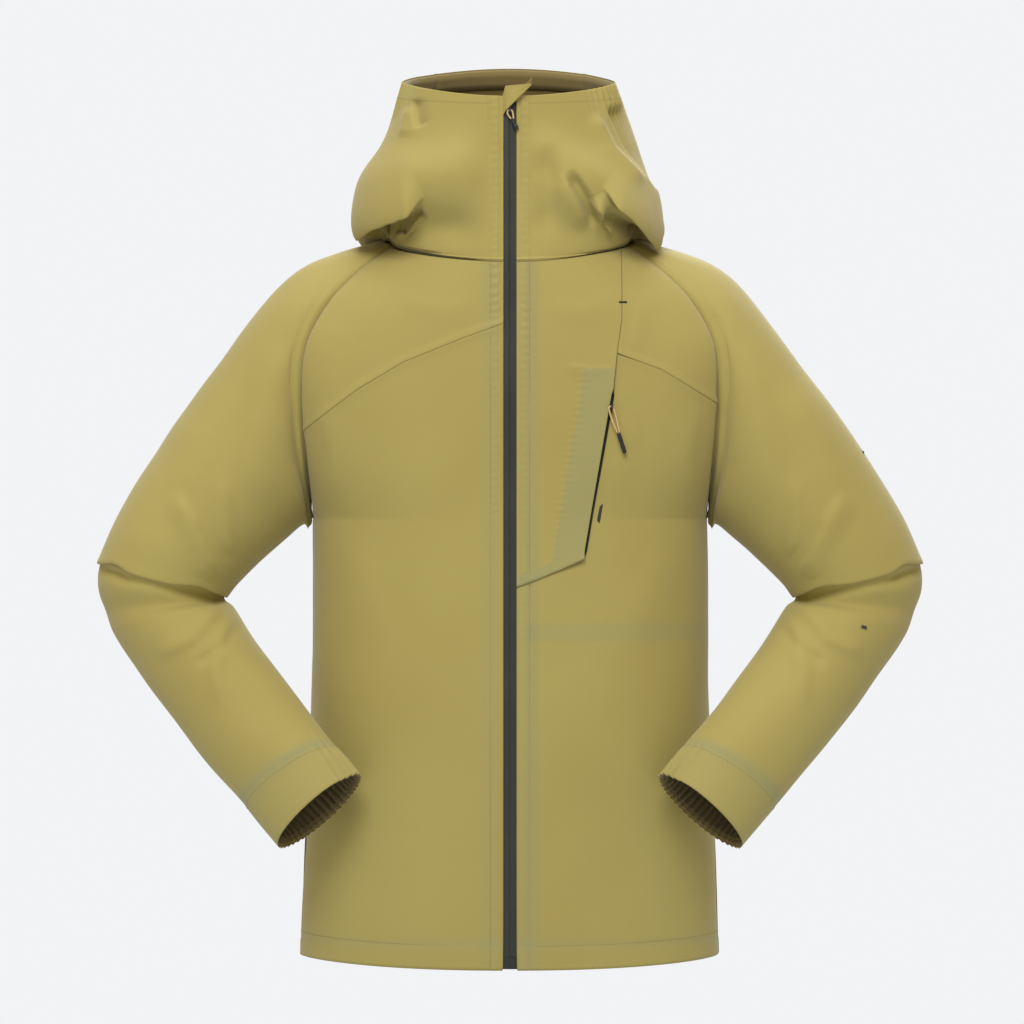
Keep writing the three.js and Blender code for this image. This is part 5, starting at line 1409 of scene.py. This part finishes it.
# ---- The cuffs --------------------------------------------------------------------------
# Each cuff has a facing inside, and a ribbed elastic band is sewn along the back half of it
# and gathers the cloth.
facing_turn, facing_t = np.meshgrid(np.linspace(0, 1, 150, endpoint=False),
                                    np.linspace(CUFF_TURN, 0.996, 26))
cuff_at = sleeve(FOREARM_ROWS, facing_turn, facing_t)
band_turn, band_t = np.meshgrid(np.linspace(0.5, 1, 120), np.linspace(0.9006, 0.985, 18))
band_at = sleeve(FOREARM_ROWS, band_turn, band_t)
cuff_middle = row_middle(sleeve(FOREARM_ROWS, *np.meshgrid(np.linspace(0, 1, 40), band_t[:, 0])))
for side, sign, seed in ARMS:
    flip = np.array([sign, 1, 1])
    facing = cloth(side + "_cuff_facing", cuff_at * flip, row_middle(cuff_at) * flip,
                   [backing, backing], around=True, held="folded",
                   hangs_from=[side + "_forearm_sleeve"],
                   shape=forearm_shape(cuff_at, facing_turn, facing_t, seed + 5) - 1.4)
    ribs = 0.45 * np.sin(2 * np.pi * band_turn * 90)
    band = cloth(side + "_cuff_elastic", band_at * flip, cuff_middle * flip, [elastic, elastic],
                 held="gathered", hangs_from=[side + "_cuff_facing"],
                 shape=forearm_shape(band_at, band_turn, band_t, seed + 5) - 3.2 + ribs)
    turn = np.linspace(0, 1, 220)
    cuff_t = np.full(220, CUFF_TURN)
    line, out = on_surface(
        partial(sleeve, FOREARM_ROWS), turn, cuff_t,
        lambda at: forearm_shape(at, turn, cuff_t, seed + 5),
        lambda at: np.broadcast_to(sleeve(FOREARM_ROWS, turn, cuff_t).mean(0), at.shape), sign)
    stitched(side + "_cuff_stitches", line, out, side + "_forearm", "shell_cloth")
    fit(facing, side + "_forearm", "lining_cloth", side + "_cuff_facing")
    fit(band, side + "_forearm", "elastic", side + "_cuff_elastic")

# ---- Small sewn pieces ------------------------------------------------------------------
# Two plain woven tabs on the left sleeve, a hanger loop of folded shell cloth and a blank
# woven label inside the back of the neck.
for name, rows, turn, t, body_name, lift in (
    ("left_upper_sleeve_tab", UPPER_ROWS, 0.03, 0.62, "left_upper_arm", 1.4),
    ("left_forearm_tab", FOREARM_ROWS, 0.2, 0.34, "left_forearm", 1.6),
):
    lengths = np.full(24, t)
    around_it = turn + np.linspace(-4, 4, 24) / 560
    middle = sleeve(rows, np.linspace(0, 1, 40), np.full(40, t)).mean(0)
    line, out = on_surface(partial(sleeve, rows), around_it, lengths,
                           lambda at: 0 * at[:, 0] + lift, lambda at: at * 0 + middle)
    tab_side = unit(np.cross(out[12], line[-1] - line[0]))
    tab = bar(name, line, ring(3, 0.7, 12), black_thread, tab_side)
    fit(tab, body_name, "moulded_black", name)
path = evenly([[-24, 101.04, 8.46], [-16.8, 97.8, 12.46], [0, 95.64, 19.46], [16.8, 97.8, 12.46],
               [24, 101.04, 8.46]], 60)
loop_tape = bar("hanger_loop", path, ring(1.2, 6, 20), shell, (0, 1, 0))
fit(loop_tape, "torso", "shell_cloth", "hanger_loop")
s, t = np.meshgrid(np.linspace(-0.128, 0.128, 40), np.linspace(0.66, 0.8, 34))
label_at = back(s, t)
label = cloth("neck_label", label_at, label_at * [0, 0, 1], [backing, backing], held="hung",
              shape=back_shape(label_at, s) - 1.6, hangs_from=["back_panel"])
fit(label, "torso", "lining_cloth", "neck_label")


# ---- Light and floor --------------------------------------------------------------------
# A plain pale studio: even light from everywhere, large soft lights above, in front and
# behind, and a wide pale floor a little below the jacket.
world = bpy.data.worlds.new("studio")
bpy.context.scene.world = world
world.use_nodes = True
background = world.node_tree.nodes["Background"]
seen = node(world.node_tree, "LightPath").outputs["Is Camera Ray"]
fill = node(world.node_tree, "Mix", {"data_type": "RGBA"}, _0=seen, _6=(0.47, 0.4, 0.27, 1),
            _7=(0.887, 0.896, 0.913, 1))
world.node_tree.links.new(fill.outputs[2], background.inputs["Color"])
bpy.context.scene.view_settings.view_transform = "Standard"


def soft_light(name, place, aim, size, power, colour):
    """A square area light that faces a point."""
    data = bpy.data.lights.new(name, "AREA")
    data.size, data.energy, data.color = size, power, colour
    light = bpy.data.objects.new(name, data)
    light.location = place
    turn = (Vector(aim) - Vector(place)).to_track_quat("-Z", "Y")
    light.rotation_euler = turn.to_euler()
    bpy.context.scene.collection.objects.link(light)


soft_light("key light", (-0.4, -3.2, 2.8), (0, 0, -0.2), 2.2, 138, (1, 1, 0.97))
soft_light("back light", (0.8, 3.4, 2.0), (0, 0, -0.25), 2.4, 75, (1, 1, 0.98))
soft_light("top light", (0, 0.4, 3.0), (0, 0, 0), 2.0, 48, (1, 1, 1))

FLOOR_Z, FLOOR_SIDES, FLOOR_RINGS = -1300, 96, [0, 1000, 2400, 3000]
turn, out = np.meshgrid(np.linspace(0, 2 * np.pi, FLOOR_SIDES, endpoint=False), FLOOR_RINGS)
disc = np.stack([out * np.cos(turn), out * np.sin(turn), 0 * out + FLOOR_Z], -1)
r, c = quads(len(FLOOR_RINGS), FLOOR_SIDES, True)
floor_look, tree, shader = finish_of("pale floor", (0.8, 0.81, 0.82), 0.9)
place = node(tree, "TexCoord").outputs["Object"]
speck = node(tree, "TexNoise", Vector=place, Scale=60.0, Detail=3.0).outputs["Fac"]
coloured(tree, shader, speck, (0.66, 0.71, 0.8), (0.7, 0.75, 0.84))
disc_faces = (r * FLOOR_SIDES + c % FLOOR_SIDES).tolist()
floor = put("floor", disc.reshape(-1, 3), disc_faces, [floor_look])
